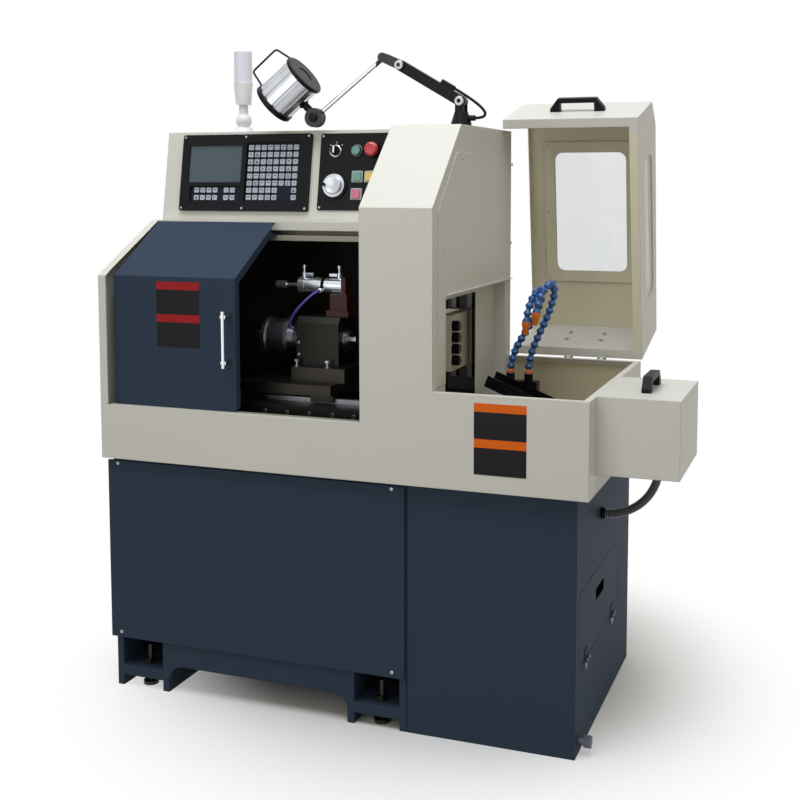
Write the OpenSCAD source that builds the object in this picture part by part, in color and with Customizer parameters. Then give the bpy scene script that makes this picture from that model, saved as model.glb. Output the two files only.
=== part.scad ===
// Small gang-tool turning lathe on a two-part base, with its guard, console, lamp and beacon.
// Every module is drawn in the shop frame: x = 0 at the joint of the two bases, y = 0 at the
// face of the base front panel, z = 0 on the floor. placed() moves the whole to its origin.

/* [Base] */
// Length of the left base
base_len = 907; // [860:1:960]
// Depth of both bases
base_depth = 717; // [690:1:740]
// Height of both bases, up to the tray
base_h = 680; // [640:1:720]
// Height from the floor to the base body
foot_h = 147; // [120:1:170]
// Width of one foot over both its legs
foot_w = 172; // [150:1:200]
// Thickness of a leg plate
leg_t = 20; // [12:1:28]
// Height of the arch between the feet
arch_h = 79; // [70:1:100]
// Length of the coolant cabinet
cabinet_len = 456; // [430:1:500]
// Width of the access door in the cabinet side
access_w = 500; // [420:1:540]
// Height of the access door
access_h = 200; // [170:1:230]
// Height of the access door's lower edge
access_z = 223; // [210:1:250]

/* [Guard] */
// Thickness of the folded sheet
sheet_t = 2; // [1.5:0.1:2.5]
// Overhang of the guard past the left base
over_left = 19; // [16:1:40]
// Overhang of the guard past the cabinet
over_right = 34; // [10:1:50]
// Overhang of the guard in front of the base
over_front = 20; // [10:1:30]
// Depth of the guard
guard_depth = 720; // [700:1:740]
// Height of the door sill above the tray
sill_h = 155; // [130:1:170]
// Height of the tub rim above the tray
rim_h = 250; // [230:1:270]
// Width of the flange round the rim and the sill
rim_w = 18; // [12:1:24]
// Thickness of the left end wall
end_t = 24; // [18:1:30]

/* [Hood] */
// Place of the hood's right side
hood_right = 81; // [75:1:95]
// Width of the hood
hood_w = 203; // [195:1:230]
// Height of the hood's fold above the tray
fold_h = 721; // [690:1:740]
// Height of the hood above the tray
hood_h = 943; // [942:1:980]
// Depth of the hood's slanted face
slant_run = 232; // [210:1:250]

/* [Console] */
// Distance of the console from the guard front
console_in = 340; // [335:1:350]
// Height of the console's lower edge above the tray
console_up = 673; // [668:1:680]
// Height of the console
console_h = 267; // [262:1:270]
// Backward lean of the console front, as a run
console_lean = 46; // [40:1:55]
// Width of the control bezel
bezel_w = 434; // [430:1:440]
// Height of the control bezel
bezel_h = 233; // [230:1:236]
// Width of the operator plate
plate_w = 255; // [250:1:260]
// Diameter of the handwheel
wheel_d = 69; // [56:1:72]
// Diameter of the emergency stop
estop_d = 42; // [36:1:46]

/* [Door] */
// Width of the sliding door
door_w = 391; // [370:1:394]
// Height of the door's fold above the tray
door_fold_h = 524; // [515:1:530]
// Depth of the door's slanted part
door_run = 240; // [225:1:244]
// Length of the door handle
door_handle_len = 142; // [110:1:180]

/* [Cover] */
// Depth of the flip cover, closed
cover_len = 733; // [720:1:736]
// Height of the cover's front
cover_front_h = 246; // [235:1:260]
// Height of the cover's back
cover_back_h = 272; // [262:1:285]
// Angle at which the cover stands open
cover_open = 79.4; // [70:0.1:85]
// Length of the cover's top window
window_len = 386; // [340:1:420]
// Width of the cover's top window
window_w = 230; // [200:1:260]

/* [Motor cover] */
// Length of the motor cover
motor_len = 210; // [190:1:230]
// Depth of the motor cover
motor_depth = 328; // [300:1:350]
// Height of the motor cover
motor_h = 200; // [185:1:202]
// Outside diameter of the conduit
conduit_d = 24; // [20:1:26]

/* [Lamp and beacon] */
// Length of the lamp's lower arm between its pivots
arm_len = 208; // [190:1:220]
// Length of the lamp's upper rod
rod_len = 244; // [235:1:250]
// Width across the lamp head
head_d = 124; // [110:1:130]
// Length of the lamp head
head_len = 138; // [120:1:150]
// Diameter of the beacon lens
lens_d = 54; // [46:1:60]
// Height of the beacon lens
lens_h = 96; // [80:1:110]

/* [Inside] */
// Height of the spindle above the tray
spindle_up = 330; // [328:1:332]
// Diameter of the collet bore
collet_d = 7; // [4:0.5:10]
// Diameter of the closer drum
drum_d = 120; // [100:1:124]
// Outside diameter of a coolant hose
hose_d = 25; // [22:1:26]

/* [Hidden] */
$fn = 48;
hose_sides = 12;
hex = 6;
eps = 1;
run_clear = 0.05;
soft_gap = 0.3;

navy = [0.15, 0.19, 0.26];
cream = [0.85, 0.84, 0.79];
black = [0.06, 0.06, 0.07];
steel = [0.62, 0.63, 0.65];
silver = [0.78, 0.79, 0.8];
iron = [0.3, 0.31, 0.32];
blue = [0.12, 0.37, 0.7];
orange = [0.94, 0.54, 0.12];
green = [0.05, 0.55, 0.42];
red = [0.8, 0.1, 0.1];
pink = [0.9, 0.35, 0.4];
yellow = [0.9, 0.75, 0.15];
brown = [0.4, 0.16, 0.12];
frost = [0.95, 0.95, 0.94];
clear = [0.8, 0.85, 0.85];

// Base
panel_depth = 8;
panel_over = 13;
panel_gap = 5;
panel_t = 2;
panel_top = 10;
joint_gap = 2;
frame_wall = 5;
frame_flange = 40;
foot_plate_z = 31;
foot_plate_t = 30;
arch_r = 45;
apron_t = 10;
bolt_r = 8;
bolt_clear = 1;
bolt_top = 118;
bolt_in = 40;
pad_r = 22;
pad_h = 10;
nut_r = 15;
nut_h = 13;
foot_y0 = panel_depth;
foot_y1 = foot_y0 + base_depth;

// Coolant cabinet
cab_wall = 3;
cab_flange = 28;
access_in = 34;
seam = 2;
access_return = 14;
access_y0 = foot_y0 + access_in;
slot_w = 106;
slot_h = 33;
slot_z = 130;
slot_in = 258;
leaf_w = 34;
leaf_h = 26;
leaf_t = 2.5;
knuckle_r = 5;
pin_r = 2;
hinge_shares = [0.17, 0.86];
knuckle_share = 0.34;
tank_in = 16;
tank_h = 190;
tank_wall = 3;
drain_y = 40;
drain_z = 36;
drain_r = 11;
drain_hex_r = 18;
drain_out = 16;
drain_hex_h = 18;
pump_x = 150;
pump_y = 560;
pump_r = 62;
pump_h = 170;
pump_cap_h = 22;
pump_plate = 190;
pump_plate_t = 6;
pump_pipe_r = 28;
pump_pipe_h = 150;
pump_box = [70, 46, 60];

// Guard
guard_x0 = -base_len - over_left;
guard_x1 = cabinet_len + over_right;
guard_y0 = -over_front;
guard_y1 = guard_y0 + guard_depth;
tray_z = base_h;
floor_z = tray_z + sheet_t;
sill_z = tray_z + sill_h;
rim_z = tray_z + rim_h;
drain_hole_r = 32;
drain_hole = [300, 190];
end_flat_in = 281;
end_flat_y = guard_y0 + end_flat_in;
bar_hole_r = 24;
rear_in = 60;
rear_up = 80;
rear_t = 2;
louvre_w = 150;
louvre_h = 9;
louvre_out = 7;
louvre_pitch = 26;
louvre_count = 8;
louvre_shares = [0.14, 0.62];
louvre_up = 250;

// Hood
hood_x0 = hood_right - hood_w;
fold_z = tray_z + fold_h;
hood_z = tray_z + hood_h;
slant_y = guard_y0 + slant_run;
part_open_in = 80;
part_open_up = 560;
side_open_front = 101;
side_open_y0 = guard_y0 + side_open_front;
side_open_rear = 60;
side_open_y1 = guard_y1 - side_open_rear;
side_open_low = 120;
side_open_z0 = tray_z + side_open_low;
side_open_top = 484;
side_open_z1 = tray_z + side_open_top;
recess = 36;
inner_front = 80;
inner_y0 = side_open_y0 + inner_front;
inner_rear = 190;
inner_y1 = side_open_y1 - inner_rear;
inner_edge = 16;
side_in = 37;
side_top_in = 76;
side_rear_in = 10;
side_fold_in = 13;
side_foot = 6;
side_strip = 62;
side_lip_gap = 6;
side_lip = 10;

// Console
con_y0 = guard_y0 + console_in;
con_z0 = tray_z + console_up;
con_top = con_z0 + console_h;
con_tilt = atan2(console_lean, console_h);
bezel_in = 61;
bezel_x = guard_x0 + bezel_in;
bezel_up = 27;
bezel_t = 12;
bezel_r = 6;
pocket_t = 8;
screen_x = 25;
screen_up = 87;
screen_w = 181;
screen_h = 114;
screen_t = 3;
keys_x = 221;
keys_up = 28;
keys_w = 178;
keys_h = 180;
soft_x = 35;
soft_up = 29;
soft_w = 171;
soft_h = 46;
key_cols = 8;
key_rows = 8;
key_pitch_x = 21.4;
key_pitch_y = 21.6;
key_w = 16;
key_h = 15;
key_t = 4;
film_t = 2;
wide_rows = 2;
key_low_share = 0.9;
soft_cols = 6;
soft_in = 21.3;
soft_split = 16.4;
soft_first = 4;
back_in = 16;
plate_gap = 28;
plate_t = 4;
plate_h = 228;
plate_up = 32;
plate_x = bezel_x + bezel_w + plate_gap;
collar_t = 6;
selector_x = 51;
estop_x = 173;
start_x = 119;
top_row_up = 175;
wheel_x = 53;
wheel_up = 72;
square_x = 124;
square_x2 = 164;
square_up = 99;
square_up2 = 48;
square_w = 26;
square_t = 9;
square_frame = 33;
square_frame_t = 3;
button_r = 13;
button_out = 9;
collar_r = 18;
knob_r = 14;
knob_out = 15;
knob_bar_w = 9;
stem_r = 6;
stem_in = 16;
stop_dome = 14;
stop_neck_r = 12;
stop_neck = 16;
wheel_t = 12;
wheel_hub_r = 16;
wheel_base_r = 40;
wheel_base_t = 5;
crank_share = 0.68;
crank_r = 6;
crank_h = 16;

// Door and its rails
door_y = 4;
door_in = 11;
door_x0 = guard_x0 + end_t + door_in;
door_x1 = door_x0 + door_w;
door_fold_z = tray_z + door_fold_h;
door_top_drop = 3;
door_top_z = con_z0 - door_top_drop;
door_return = 22;
door_lift = 6;
groove_t = 5;
rail_ahead = 62;
rail_front = con_y0 - rail_ahead;
rail_behind = 25;
rail_h = 56;
rail_slot_up = 16;
rail_slot_h = 14;
rail_slot_in = 42;
tongue_t = 3;
tongue_in = 30;
lower_rail_w = 20;
lower_rail_h = 9;
door_handle_in = 19;
door_handle_up = 288;
door_bar_r = 5;
door_post_r = 8;
door_post = 38;
door_cap = 14;

// Flip cover, drawn closed and turned open about its hinge
cover_gap = 5;
cover_x0 = hood_right + cover_gap;
cover_x1 = guard_x1;
hinge_back = 17;
hinge_drop = 3;
hinge_y = guard_y1 + hinge_back;
hinge_z = rim_z - hinge_drop;
corner_in = 4;
corner_up = 6;
cover_lean = 15;
cover_back_lean = 12;
chamfer_run = 76;
chamfer_rise = 60;
cover_flange = 26;
window_r = 25;
window_from_back = 188;
pane_t = 4;
pane_over = 34;
side_window_len = 436;
side_window_h = 130;
side_window_back = 158;
side_window_up = 96;
side_window_r = 34;
bridge_len = 165;
bridge_w = 24;
bridge_h = 40;
bridge_t = 14;
bridge_foot = 30;
bridge_heel = 10;
bridge_slope = 24;
cover_handle_up = 118;
butt_w = 26;
butt_leaf_h = 62;
butt_t = 3;
butt_r = 4.5;
butt_pin_r = 2;
butt_places = [178, 281];
butt_low = 26;

// Motor cover and conduit
motor_x1 = guard_x1 + motor_len;
motor_y0 = 54;
motor_up = 52;
motor_z0 = tray_z + motor_up;
motor_handle_y = 86;
motor_handle_x = 98;
conduit_y = 300;
conduit_drop = 165;
conduit_z = motor_z0 - conduit_drop;
conduit_r = 142;
conduit_pitch = 5;
conduit_dip_share = 0.84;
gland_r = 17;
gland_t = 14;
gland_nut_t = 8;

// Lamp
lamp_x = 41;
lamp_y = 330;
lamp_base_r = 29;
lamp_base_top_r = 19;
lamp_base_h = 40;
lamp_flange_t = 8;
shoulder_up = 69;
arm_deg = 149.8;
arm_w = 30;
arm_t = 24;
ear_t = 5;
ear_w = 26;
cap_r = 13;
cap_t = 6;
pivot_r = 5;
yoke_len = 58;
yoke_deg = 155.6;
yoke_w = 26;
rod_r = 6.5;
rod_deg = 217.4;
disc_r = 28;
disc_t = 15;
disc_ahead = 29;
head_from = [-85, 84];
head_deg = 39;
ring_over = 4;
ring_front = 16;
ring_rear = 12;
glass_in = 5;
rib_count = 16;
rib_out = 4;
rib_share = 0.5;
stub_r = 11;
bail_r = 3;
head_wall = 5;
bail_out = 118;
bail_front_in = 12;
bail_rear_in = 26;
wire_r = 4;
block_len = 42;
block_w = 16;
block_out = 12;
block_from = 36;
cable_steps = 14;
cable_loop = 70;
cable_end_up = 22;
lamp_gland_r = 8;
lamp_gland_out = 12;

// Beacon
beacon_x = -683;
beacon_y = 400;
beacon_foot_r = 33;
beacon_foot_h = 14;
ball_r = 24;
ball_up = 34;
beacon_neck_r = 14;
beacon_neck_h = 84;
sleeve_r = 29;
sleeve_low_r = 23;
sleeve_h = 66;
lens_round = 5;

// Bed, headstock and tools
spindle_y = 300;
spindle_z = tray_z + spindle_up;
bed_in = 22;
bed_x0 = guard_x0 + end_t + bed_in;
bed_x1 = 30;
bed_y0 = 110;
bed_y1 = 630;
bed_h = 160;
bed_z = floor_z + bed_h;
bed_pocket = 60;
bed_rib = 30;
rail_w = 20;
guide_h = 13;
guide_ys = [190, 410];
guide_in = 20;
guide_x0 = bed_x0 + guide_in;
guide_x1 = -130;
slide_x0 = -563;
slide_x1 = -284;
slide_y0 = 150;
slide_y1 = 450;
slide_lift = 24;
slide_t = 30;
shoe_len = 70;
shoe_w = 46;
saddle_x0 = -430;
saddle_x1 = -263;
saddle_y0 = 200;
saddle_y1 = 400;
saddle_h = 41;
slide_z0 = bed_z + slide_lift;
saddle_z0 = slide_z0 + slide_t;
block_x0 = -431;
block_x1 = -298;
block_half = 62;
block_y0 = spindle_y - block_half;
block_y1 = spindle_y + block_half;
block_z0 = saddle_z0 + saddle_h;
block_up = 68;
block_z1 = spindle_z + block_up;
block_chamfer = 16;
spindle_r = 34;
spindle_bore_r = 12;
drum_x0 = -554;
drum_x1 = -470;
drum_groove = 5;
drum_groove_w = 14;
flange_r = 46;
flange_t = 12;
draw_x0 = -590;
draw_r = 18;
nose_x1 = -286;
nose_r = 27;
collet_x1 = -266;
collet_r = 12;
collet_len = 36;
bearing_gap = 0.06;
foot_x0 = -350;
foot_x1 = -281;
foot_half = 31;
foot_t = 18;
foot_edge = 8;
post_half = 22;
foot_up = 133;
foot_top = spindle_z + foot_up;
post_t = 14;
post_top = 26;
cyl_x0 = -447;
cyl_x1 = -307;
cyl_up = 156;
cyl_z = spindle_z + cyl_up;
cyl_r = 22;
cyl_cap_r = 24;
cyl_cap = 20;
rod_x0 = -523;
rod_in = 44;
piston_rod_r = 5;
clevis_len = 33;
clevis_r = 11;
port_r = 8;
port_h = 14;
port_arm = 30;
port_arm_r = 6;
port_in = 14;
needle_r = 4;
needle_h = 12;
port_knob_r = 6;
port_knob_h = 9;
collar_in = 50;
collar_w = 12;
hose_r = 4;
hose_port_out = 10;
hose_from = 80;
hose_low = 12;
hose_steps = 16;
hose_fit_r = 7;
hose_end_in = 12;
hose_end_up = 30;
hose_bow = 76;
hose_front = 70;

column_x0 = -70;
column_y0 = 540;
column_h = 330;
post_rail_w = 15;
post_rail_h = 13;
post_rail_xs = [-46, 4];
post_rail_low = 40;
tool_plate_x0 = -14;
tool_plate_x1 = 18;
tool_behind = 14;
tool_y0 = spindle_y + tool_behind;
tool_y1 = 490;
tool_half = 80;
tool_z0 = spindle_z - tool_half;
tool_z1 = spindle_z + tool_half;
truck_x0 = -62;
truck_x1 = 22;
truck_gap = 4;
sleeve_count = 4;
sleeve_pitch = 33;
sleeve_behind = 32;
sleeve_y = spindle_y + sleeve_behind;
sleeve_d = 26;
sleeve_x0 = -44;
sleeve_x1 = 38;
sleeve_nut_r = 15;
sleeve_nut = 16;
sleeve_hole_r = 4;
sleeve_hole = 40;

// Tub contents
chute_x0 = 92;
chute_len = 330;
chute_deg = 21.5;
chute_z = 905;
chute_y0 = 430;
chute_y1 = 520;
chute_wall = 3;
chute_lip = 34;
chute_leg_w = 24;
chute_leg_t = 6;
chute_leg_in = 60;
chute_leg_end = 80;
chute_leg_places = [chute_leg_in, chute_len - chute_leg_end];
manifold_x0 = 98;
manifold_x1 = 206;
manifold_y = 572;
manifold_z0 = 846;
manifold_w = 36;
manifold_h = 26;
feed_r = 15;
valve_r = 13;
valve_h = 22;
lever_len = 34;
lever_w = 10;
lever_t = 4;
lever_stem = 16;
hose_in = 22;
hose_gap = 56;
hose_xs = [manifold_x0 + hose_in, manifold_x0 + hose_in + hose_gap];
hose_up_h = 250;
hose_more = 12;
hose_rise = [hose_up_h, hose_up_h + hose_more];
hose_lean = [88, 72];
hose_hook = 40;
hose_drop = [42, 26];
hose_side = [-18, -28];
hook_share = 2.4;
hose_twist = [1, 0.35, 0];
bead_steps = 4;
hose_beads = 21;
hose_neck_share = 0.66;
bead_shares = [hose_neck_share, 1, 0.94, 0.8];
nozzle_len = 40;
nozzle_tip_share = 0.42;

// Extents of the whole, with the cover standing open
whole_x0 = guard_x0;
whole_x1 = motor_x1;
whole_y0 = door_y - door_post - door_bar_r;
whole_y1 = hinge_y + turned(cover_profile()[1])[0];
mid_x = (whole_x0 + whole_x1) / 2;
mid_y = (whole_y0 + whole_y1) / 2;

// Shared shapes

function unit(v) = v / norm(v);

// A convex outline, listed anticlockwise, moved inward by t on every side
function inset(p, t) = [
  for (i = [0 : len(p) - 1])
    let (a = p[(i + len(p) - 1) % len(p)])
    let (b = p[i])
    let (c = p[(i + 1) % len(p)])
    let (d = unit(b - a))
    let (e = unit(c - b))
    let (m = [-d[1], d[0]])
    let (n = [-e[1], e[0]])
    b + t * (m + n) / (1 + m * n)
];

// A point of the closed cover, relative to its hinge, with the cover turned open
function turned(p) = [
  p[0] * cos(cover_open) + p[1] * sin(cover_open),
  p[1] * cos(cover_open) - p[0] * sin(cover_open)
];

function bezier(p, t) = let (s = 1 - t)
  s * s * s * p[0] + 3 * s * s * t * p[1] + 3 * s * t * t * p[2] + t * t * t * p[3];

function bezier_slope(p, t) = let (s = 1 - t)
  unit(s * s * (p[1] - p[0]) + 2 * s * t * (p[2] - p[1]) + t * t * (p[3] - p[2]));

// One ring of a tube: n points round place p, square to direction d
function ring(p, d, r, n, side) = let (u = unit(cross(side, d))) let (v = cross(d, u))
  [for (k = [0 : n - 1]) p + r * (cos(360 * k / n) * u + sin(360 * k / n) * v)];

// A tube through places, square to slopes there, with its own radius at each place
module tube(places, slopes, radii, n, side) {
  last = len(places) - 1;
  points = [for (i = [0 : last]) each ring(places[i], slopes[i], radii[i], n, side)];
  wall = [
    for (i = [0 : last - 1])
      for (k = [0 : n - 1])
        for (tri = [
          [i * n + k, (i + 1) * n + k, (i + 1) * n + (k + 1) % n],
          [i * n + k, (i + 1) * n + (k + 1) % n, i * n + (k + 1) % n]
        ])
          tri
  ];
  start = [for (k = [0 : n - 1]) k];
  end = [for (k = [0 : n - 1]) last * n + n - 1 - k];
  polyhedron(points, concat([start], wall, [end]), convexity = 8);
}

module block(x0, x1, y0, y1, z0, z1) {
  translate([x0, y0, z0])
    cube([x1 - x0, y1 - y0, z1 - z0]);
}

// A y-z outline drawn out along x
module along_x(x0, x1) {
  translate([x0, 0, 0])
    rotate([90, 0, 90])
      linear_extrude(x1 - x0)
        children();
}

// An x-z outline drawn out along y
module along_y(y0, y1) {
  translate([0, y1, 0])
    rotate([90, 0, 0])
      linear_extrude(y1 - y0)
        children();
}

module rod_x(x0, x1, y, z, r) {
  translate([x0, y, z])
    rotate([0, 90, 0])
      cylinder(h = x1 - x0, r = r);
}

module rod_y(y0, y1, x, z, r) {
  translate([x, y0, z])
    rotate([-90, 0, 0])
      cylinder(h = y1 - y0, r = r);
}

module rod_z(z0, z1, x, y, r) {
  translate([x, y, z0])
    cylinder(h = z1 - z0, r = r);
}

// A rectangle with round corners, from the origin
module round_rect(w, h, r) {
  translate([r, 0])
    square([w - 2 * r, h]);
  translate([0, r])
    square([w, h - 2 * r]);
  for (x = [r, w - r])
    for (y = [r, h - r])
      translate([x, y])
        circle(r);
}

// A bridge handle along y from the origin, standing up along z
module bridge_handle() {
  difference() {
    along_x(-bridge_w / 2, bridge_w / 2)
      polygon([
        [0, 0], [0, bridge_heel], [bridge_slope, bridge_h],
        [bridge_len - bridge_slope, bridge_h], [bridge_len, bridge_heel], [bridge_len, 0]
      ]);
    block(-bridge_w, bridge_w, bridge_foot, bridge_len - bridge_foot, -eps,
      bridge_h - bridge_t);
  }
}

module placed() {
  translate([-mid_x, -mid_y, 0])
    children();
}

// The console front: x as in the shop frame, y up the slope, z out of the face
module on_console() {
  translate([0, con_y0, con_z0])
    rotate([90 - con_tilt, 0, 0])
      children();
}

// Base

module foot(x) {
  for (leg = [x, x + foot_w - leg_t])
    block(leg, leg + leg_t, foot_y0, foot_y1, 0, foot_h);
  difference() {
    block(x + leg_t, x + foot_w - leg_t, foot_y0, foot_y1, foot_plate_z,
      foot_plate_z + foot_plate_t);
    for (y = [foot_y0 + bolt_in, foot_y1 - bolt_in])
      rod_z(0, foot_h, x + foot_w / 2, y, bolt_r + bolt_clear);
  }
}

module apron(y) {
  x0 = -base_len + foot_w;
  span = base_len - joint_gap - 2 * foot_w;
  along_y(y, y + apron_t)
    translate([x0, 0])
      difference() {
        square([span, foot_h]);
        translate([-eps, -eps])
          square([span + 2 * eps, arch_h - arch_r + eps]);
        translate([arch_r, 0])
          square([span - 2 * arch_r, arch_h]);
        for (x = [arch_r, span - arch_r])
          translate([x, arch_h - arch_r])
            circle(arch_r);
      }
}

module base_frame() {
  color(navy) {
    for (x = [-base_len, -joint_gap - foot_w])
      foot(x);
    for (y = [foot_y0, foot_y1 - apron_t])
      apron(y);
    difference() {
      block(-base_len, -joint_gap, foot_y0, foot_y1, foot_h, base_h);
      block(-base_len + frame_wall, -joint_gap - frame_wall, foot_y0 + frame_wall,
        foot_y1 - frame_wall, foot_h + frame_wall, base_h - frame_wall);
      block(-base_len + frame_flange, -joint_gap - frame_flange, 0, foot_y0 + 2 * frame_wall,
        foot_h + frame_flange, base_h - frame_flange);
    }
  }
}

module front_panel() {
  x0 = -base_len - panel_over;
  z1 = base_h - panel_top;
  color(navy)
    difference() {
      block(x0, -panel_gap, 0, panel_depth, foot_h, z1);
      block(x0 + panel_t, -panel_gap - panel_t, panel_t, panel_depth + eps,
        foot_h + panel_t, z1 - panel_t);
    }
}

module levelling_bolts() {
  top = foot_plate_z + foot_plate_t;
  color(steel)
    for (x = [-base_len, -joint_gap - foot_w])
      for (y = [foot_y0 + bolt_in, foot_y1 - bolt_in])
        translate([x + foot_w / 2, y, 0]) {
          cylinder(h = pad_h, r = pad_r);
          cylinder(h = bolt_top, r = bolt_r);
          translate([0, 0, top])
            cylinder(h = nut_h, r = nut_r, $fn = hex);
        }
}

module coolant_cabinet() {
  color(navy)
    difference() {
      block(0, cabinet_len, foot_y0, foot_y1, 0, base_h);
      block(cab_wall, cabinet_len - cab_wall, foot_y0 + cab_wall, foot_y1 - cab_wall,
        cab_wall, base_h - cab_wall);
      block(cab_flange, cabinet_len - cab_flange, foot_y0 + cab_flange,
        foot_y1 - cab_flange, -eps, base_h + eps);
      block(cabinet_len - 2 * cab_wall, cabinet_len + eps, access_y0,
        access_y0 + access_w, access_z, access_z + access_h);
      rod_x(cabinet_len - 2 * cab_wall, cabinet_len + eps, foot_y0 + drain_y, drain_z,
        drain_r + eps);
    }
}

module coolant_tank() {
  y0 = foot_y0 + tank_in;
  y1 = foot_y1 - tank_in;
  x1 = cabinet_len - tank_in;
  color(steel)
    difference() {
      block(tank_in, x1, y0, y1, cab_wall, tank_h);
      block(tank_in + tank_wall, x1 - tank_wall, y0 + tank_wall, y1 - tank_wall,
        cab_wall + tank_wall, tank_h + eps);
    }
}

module coolant_pump() {
  y1 = foot_y1 - tank_in;
  color(iron) {
    block(tank_in, tank_in + pump_plate, y1 - pump_plate, y1, tank_h,
      tank_h + pump_plate_t);
    translate([pump_x, pump_y, tank_h]) {
      translate([0, 0, -pump_pipe_h])
        cylinder(h = pump_pipe_h + eps, r = pump_pipe_r);
      cylinder(h = pump_h, r = pump_r);
      translate([0, 0, pump_h])
        cylinder(h = pump_cap_h, r1 = pump_r, r2 = pump_pipe_r);
      translate([0, -pump_box[1] / 2, pump_h - pump_box[2] - pump_cap_h])
        cube([pump_r + pump_box[0] / 2, pump_box[1], pump_box[2]]);
    }
  }
}

module drain_plug() {
  color(steel)
    translate([cabinet_len - tank_in, foot_y0 + drain_y, drain_z])
      rotate([0, 90, 0]) {
        cylinder(h = tank_in + drain_out, r = drain_r);
        translate([0, 0, tank_in + drain_out])
          cylinder(h = drain_hex_h, r = drain_hex_r, $fn = hex);
      }
}

hinge_x = cabinet_len + knuckle_r + soft_gap;

module access_door() {
  y0 = access_y0 + seam;
  y1 = access_y0 + access_w - seam;
  z0 = access_z + seam;
  z1 = access_z + access_h - seam;
  color(navy) {
    difference() {
      block(cabinet_len - access_return, cabinet_len, y0, y1, z0, z1);
      block(cabinet_len - access_return - eps, cabinet_len - sheet_t, y0 + sheet_t,
        y1 - sheet_t, z0 + sheet_t, z1 - sheet_t);
      translate([0, access_y0 + slot_in - slot_w / 2, access_z + slot_z - slot_h / 2])
        along_x(cabinet_len - 2 * sheet_t, cabinet_len + eps)
          round_rect(slot_w, slot_h, slot_h / 4);
    }
    for (share = hinge_shares)
      translate([0, access_y0 + share * access_w, 0])
        difference() {
          union() {
            block(cabinet_len, cabinet_len + leaf_t, -leaf_w / 2, leaf_w / 2, z0,
              z0 + leaf_h);
            rod_y(-leaf_w * knuckle_share / 2, leaf_w * knuckle_share / 2, hinge_x,
              access_z, knuckle_r);
          }
          rod_y(-leaf_w, leaf_w, hinge_x, access_z, pin_r + run_clear);
          for (side = [-1, 1])
            translate([0, side * leaf_w / 2, 0])
              rod_y(-leaf_w * (1 - knuckle_share) / 2 - soft_gap,
                leaf_w * (1 - knuckle_share) / 2 + soft_gap, hinge_x, access_z,
                knuckle_r + soft_gap);
        }
  }
}

module access_hinges() {
  color(steel)
    for (share = hinge_shares)
      translate([0, access_y0 + share * access_w, 0]) {
        difference() {
          union() {
            block(cabinet_len, cabinet_len + leaf_t, -leaf_w / 2, leaf_w / 2,
              access_z - leaf_h, access_z - seam);
            rod_y(-leaf_w / 2, leaf_w / 2, hinge_x, access_z, knuckle_r);
          }
          rod_y(-leaf_w * knuckle_share / 2 - soft_gap,
            leaf_w * knuckle_share / 2 + soft_gap, hinge_x, access_z,
            knuckle_r + soft_gap);
        }
        rod_y(-leaf_w / 2, leaf_w / 2, hinge_x, access_z, pin_r);
      }
}

// Tray and guard

hood_profile = [
  [guard_y0, tray_z], [guard_y1, tray_z], [guard_y1, hood_z], [slant_y, hood_z],
  [guard_y0, fold_z]
];

module tray() {
  back = guard_y1 - sheet_t;
  color(cream) {
    difference() {
      block(guard_x0, guard_x1 - sheet_t, guard_y0 + sheet_t, guard_y1, tray_z, floor_z);
      rod_z(tray_z - eps, floor_z + eps, drain_hole[0], drain_hole[1], drain_hole_r);
    }
    block(guard_x0, hood_x0, back, guard_y1, tray_z, con_z0);
    block(hood_x0, hood_right, back, guard_y1, tray_z, hood_z - sheet_t);
    block(hood_right, guard_x1 - sheet_t, back, guard_y1, tray_z, rim_z);
    block(hood_right, guard_x1 - rim_w, guard_y1 - rim_w, guard_y1, rim_z - sheet_t, rim_z);
  }
}

module front_guard() {
  inner = inset(hood_profile, sheet_t);
  color(cream) {
    block(guard_x0, hood_x0, guard_y0, guard_y0 + sheet_t, tray_z, sill_z);
    block(guard_x0 + end_t, hood_x0, guard_y0, guard_y0 + rim_w, sill_z - sheet_t, sill_z);
    along_x(hood_x0, hood_right)
      polygon([
        hood_profile[0], [guard_y0 + sheet_t, tray_z], inner[4], inner[3],
        [guard_y1, hood_z - sheet_t], hood_profile[2], hood_profile[3], hood_profile[4]
      ]);
    block(hood_right, guard_x1, guard_y0, guard_y0 + sheet_t, tray_z, rim_z);
    block(hood_right, guard_x1, guard_y0, guard_y0 + rim_w, rim_z - sheet_t, rim_z);
    block(guard_x1 - sheet_t, guard_x1, guard_y0, guard_y1, tray_z, rim_z);
    block(guard_x1 - rim_w, guard_x1, guard_y0, guard_y1 - sheet_t, rim_z - sheet_t, rim_z);
  }
}

module left_end_wall() {
  outline = [
    [guard_y0 + sheet_t, floor_z], [guard_y1 - sheet_t, floor_z],
    [guard_y1 - sheet_t, con_z0], [end_flat_y, con_z0], [guard_y0, door_fold_z],
    [guard_y0, sill_z], [guard_y0 + sheet_t, sill_z]
  ];
  core = inset([
    [guard_y0 + sheet_t, floor_z], [guard_y1 - sheet_t, floor_z],
    [guard_y1 - sheet_t, con_z0], [end_flat_y, con_z0], [guard_y0 + sheet_t, door_fold_z]
  ], sheet_t);
  color(cream)
    difference() {
      along_x(guard_x0, guard_x0 + end_t)
        polygon(outline);
      along_x(guard_x0 + sheet_t, guard_x0 + end_t + eps)
        polygon(core);
      rod_x(guard_x0 - eps, guard_x0 + end_t, spindle_y, spindle_z, bar_hole_r);
    }
}

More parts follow.
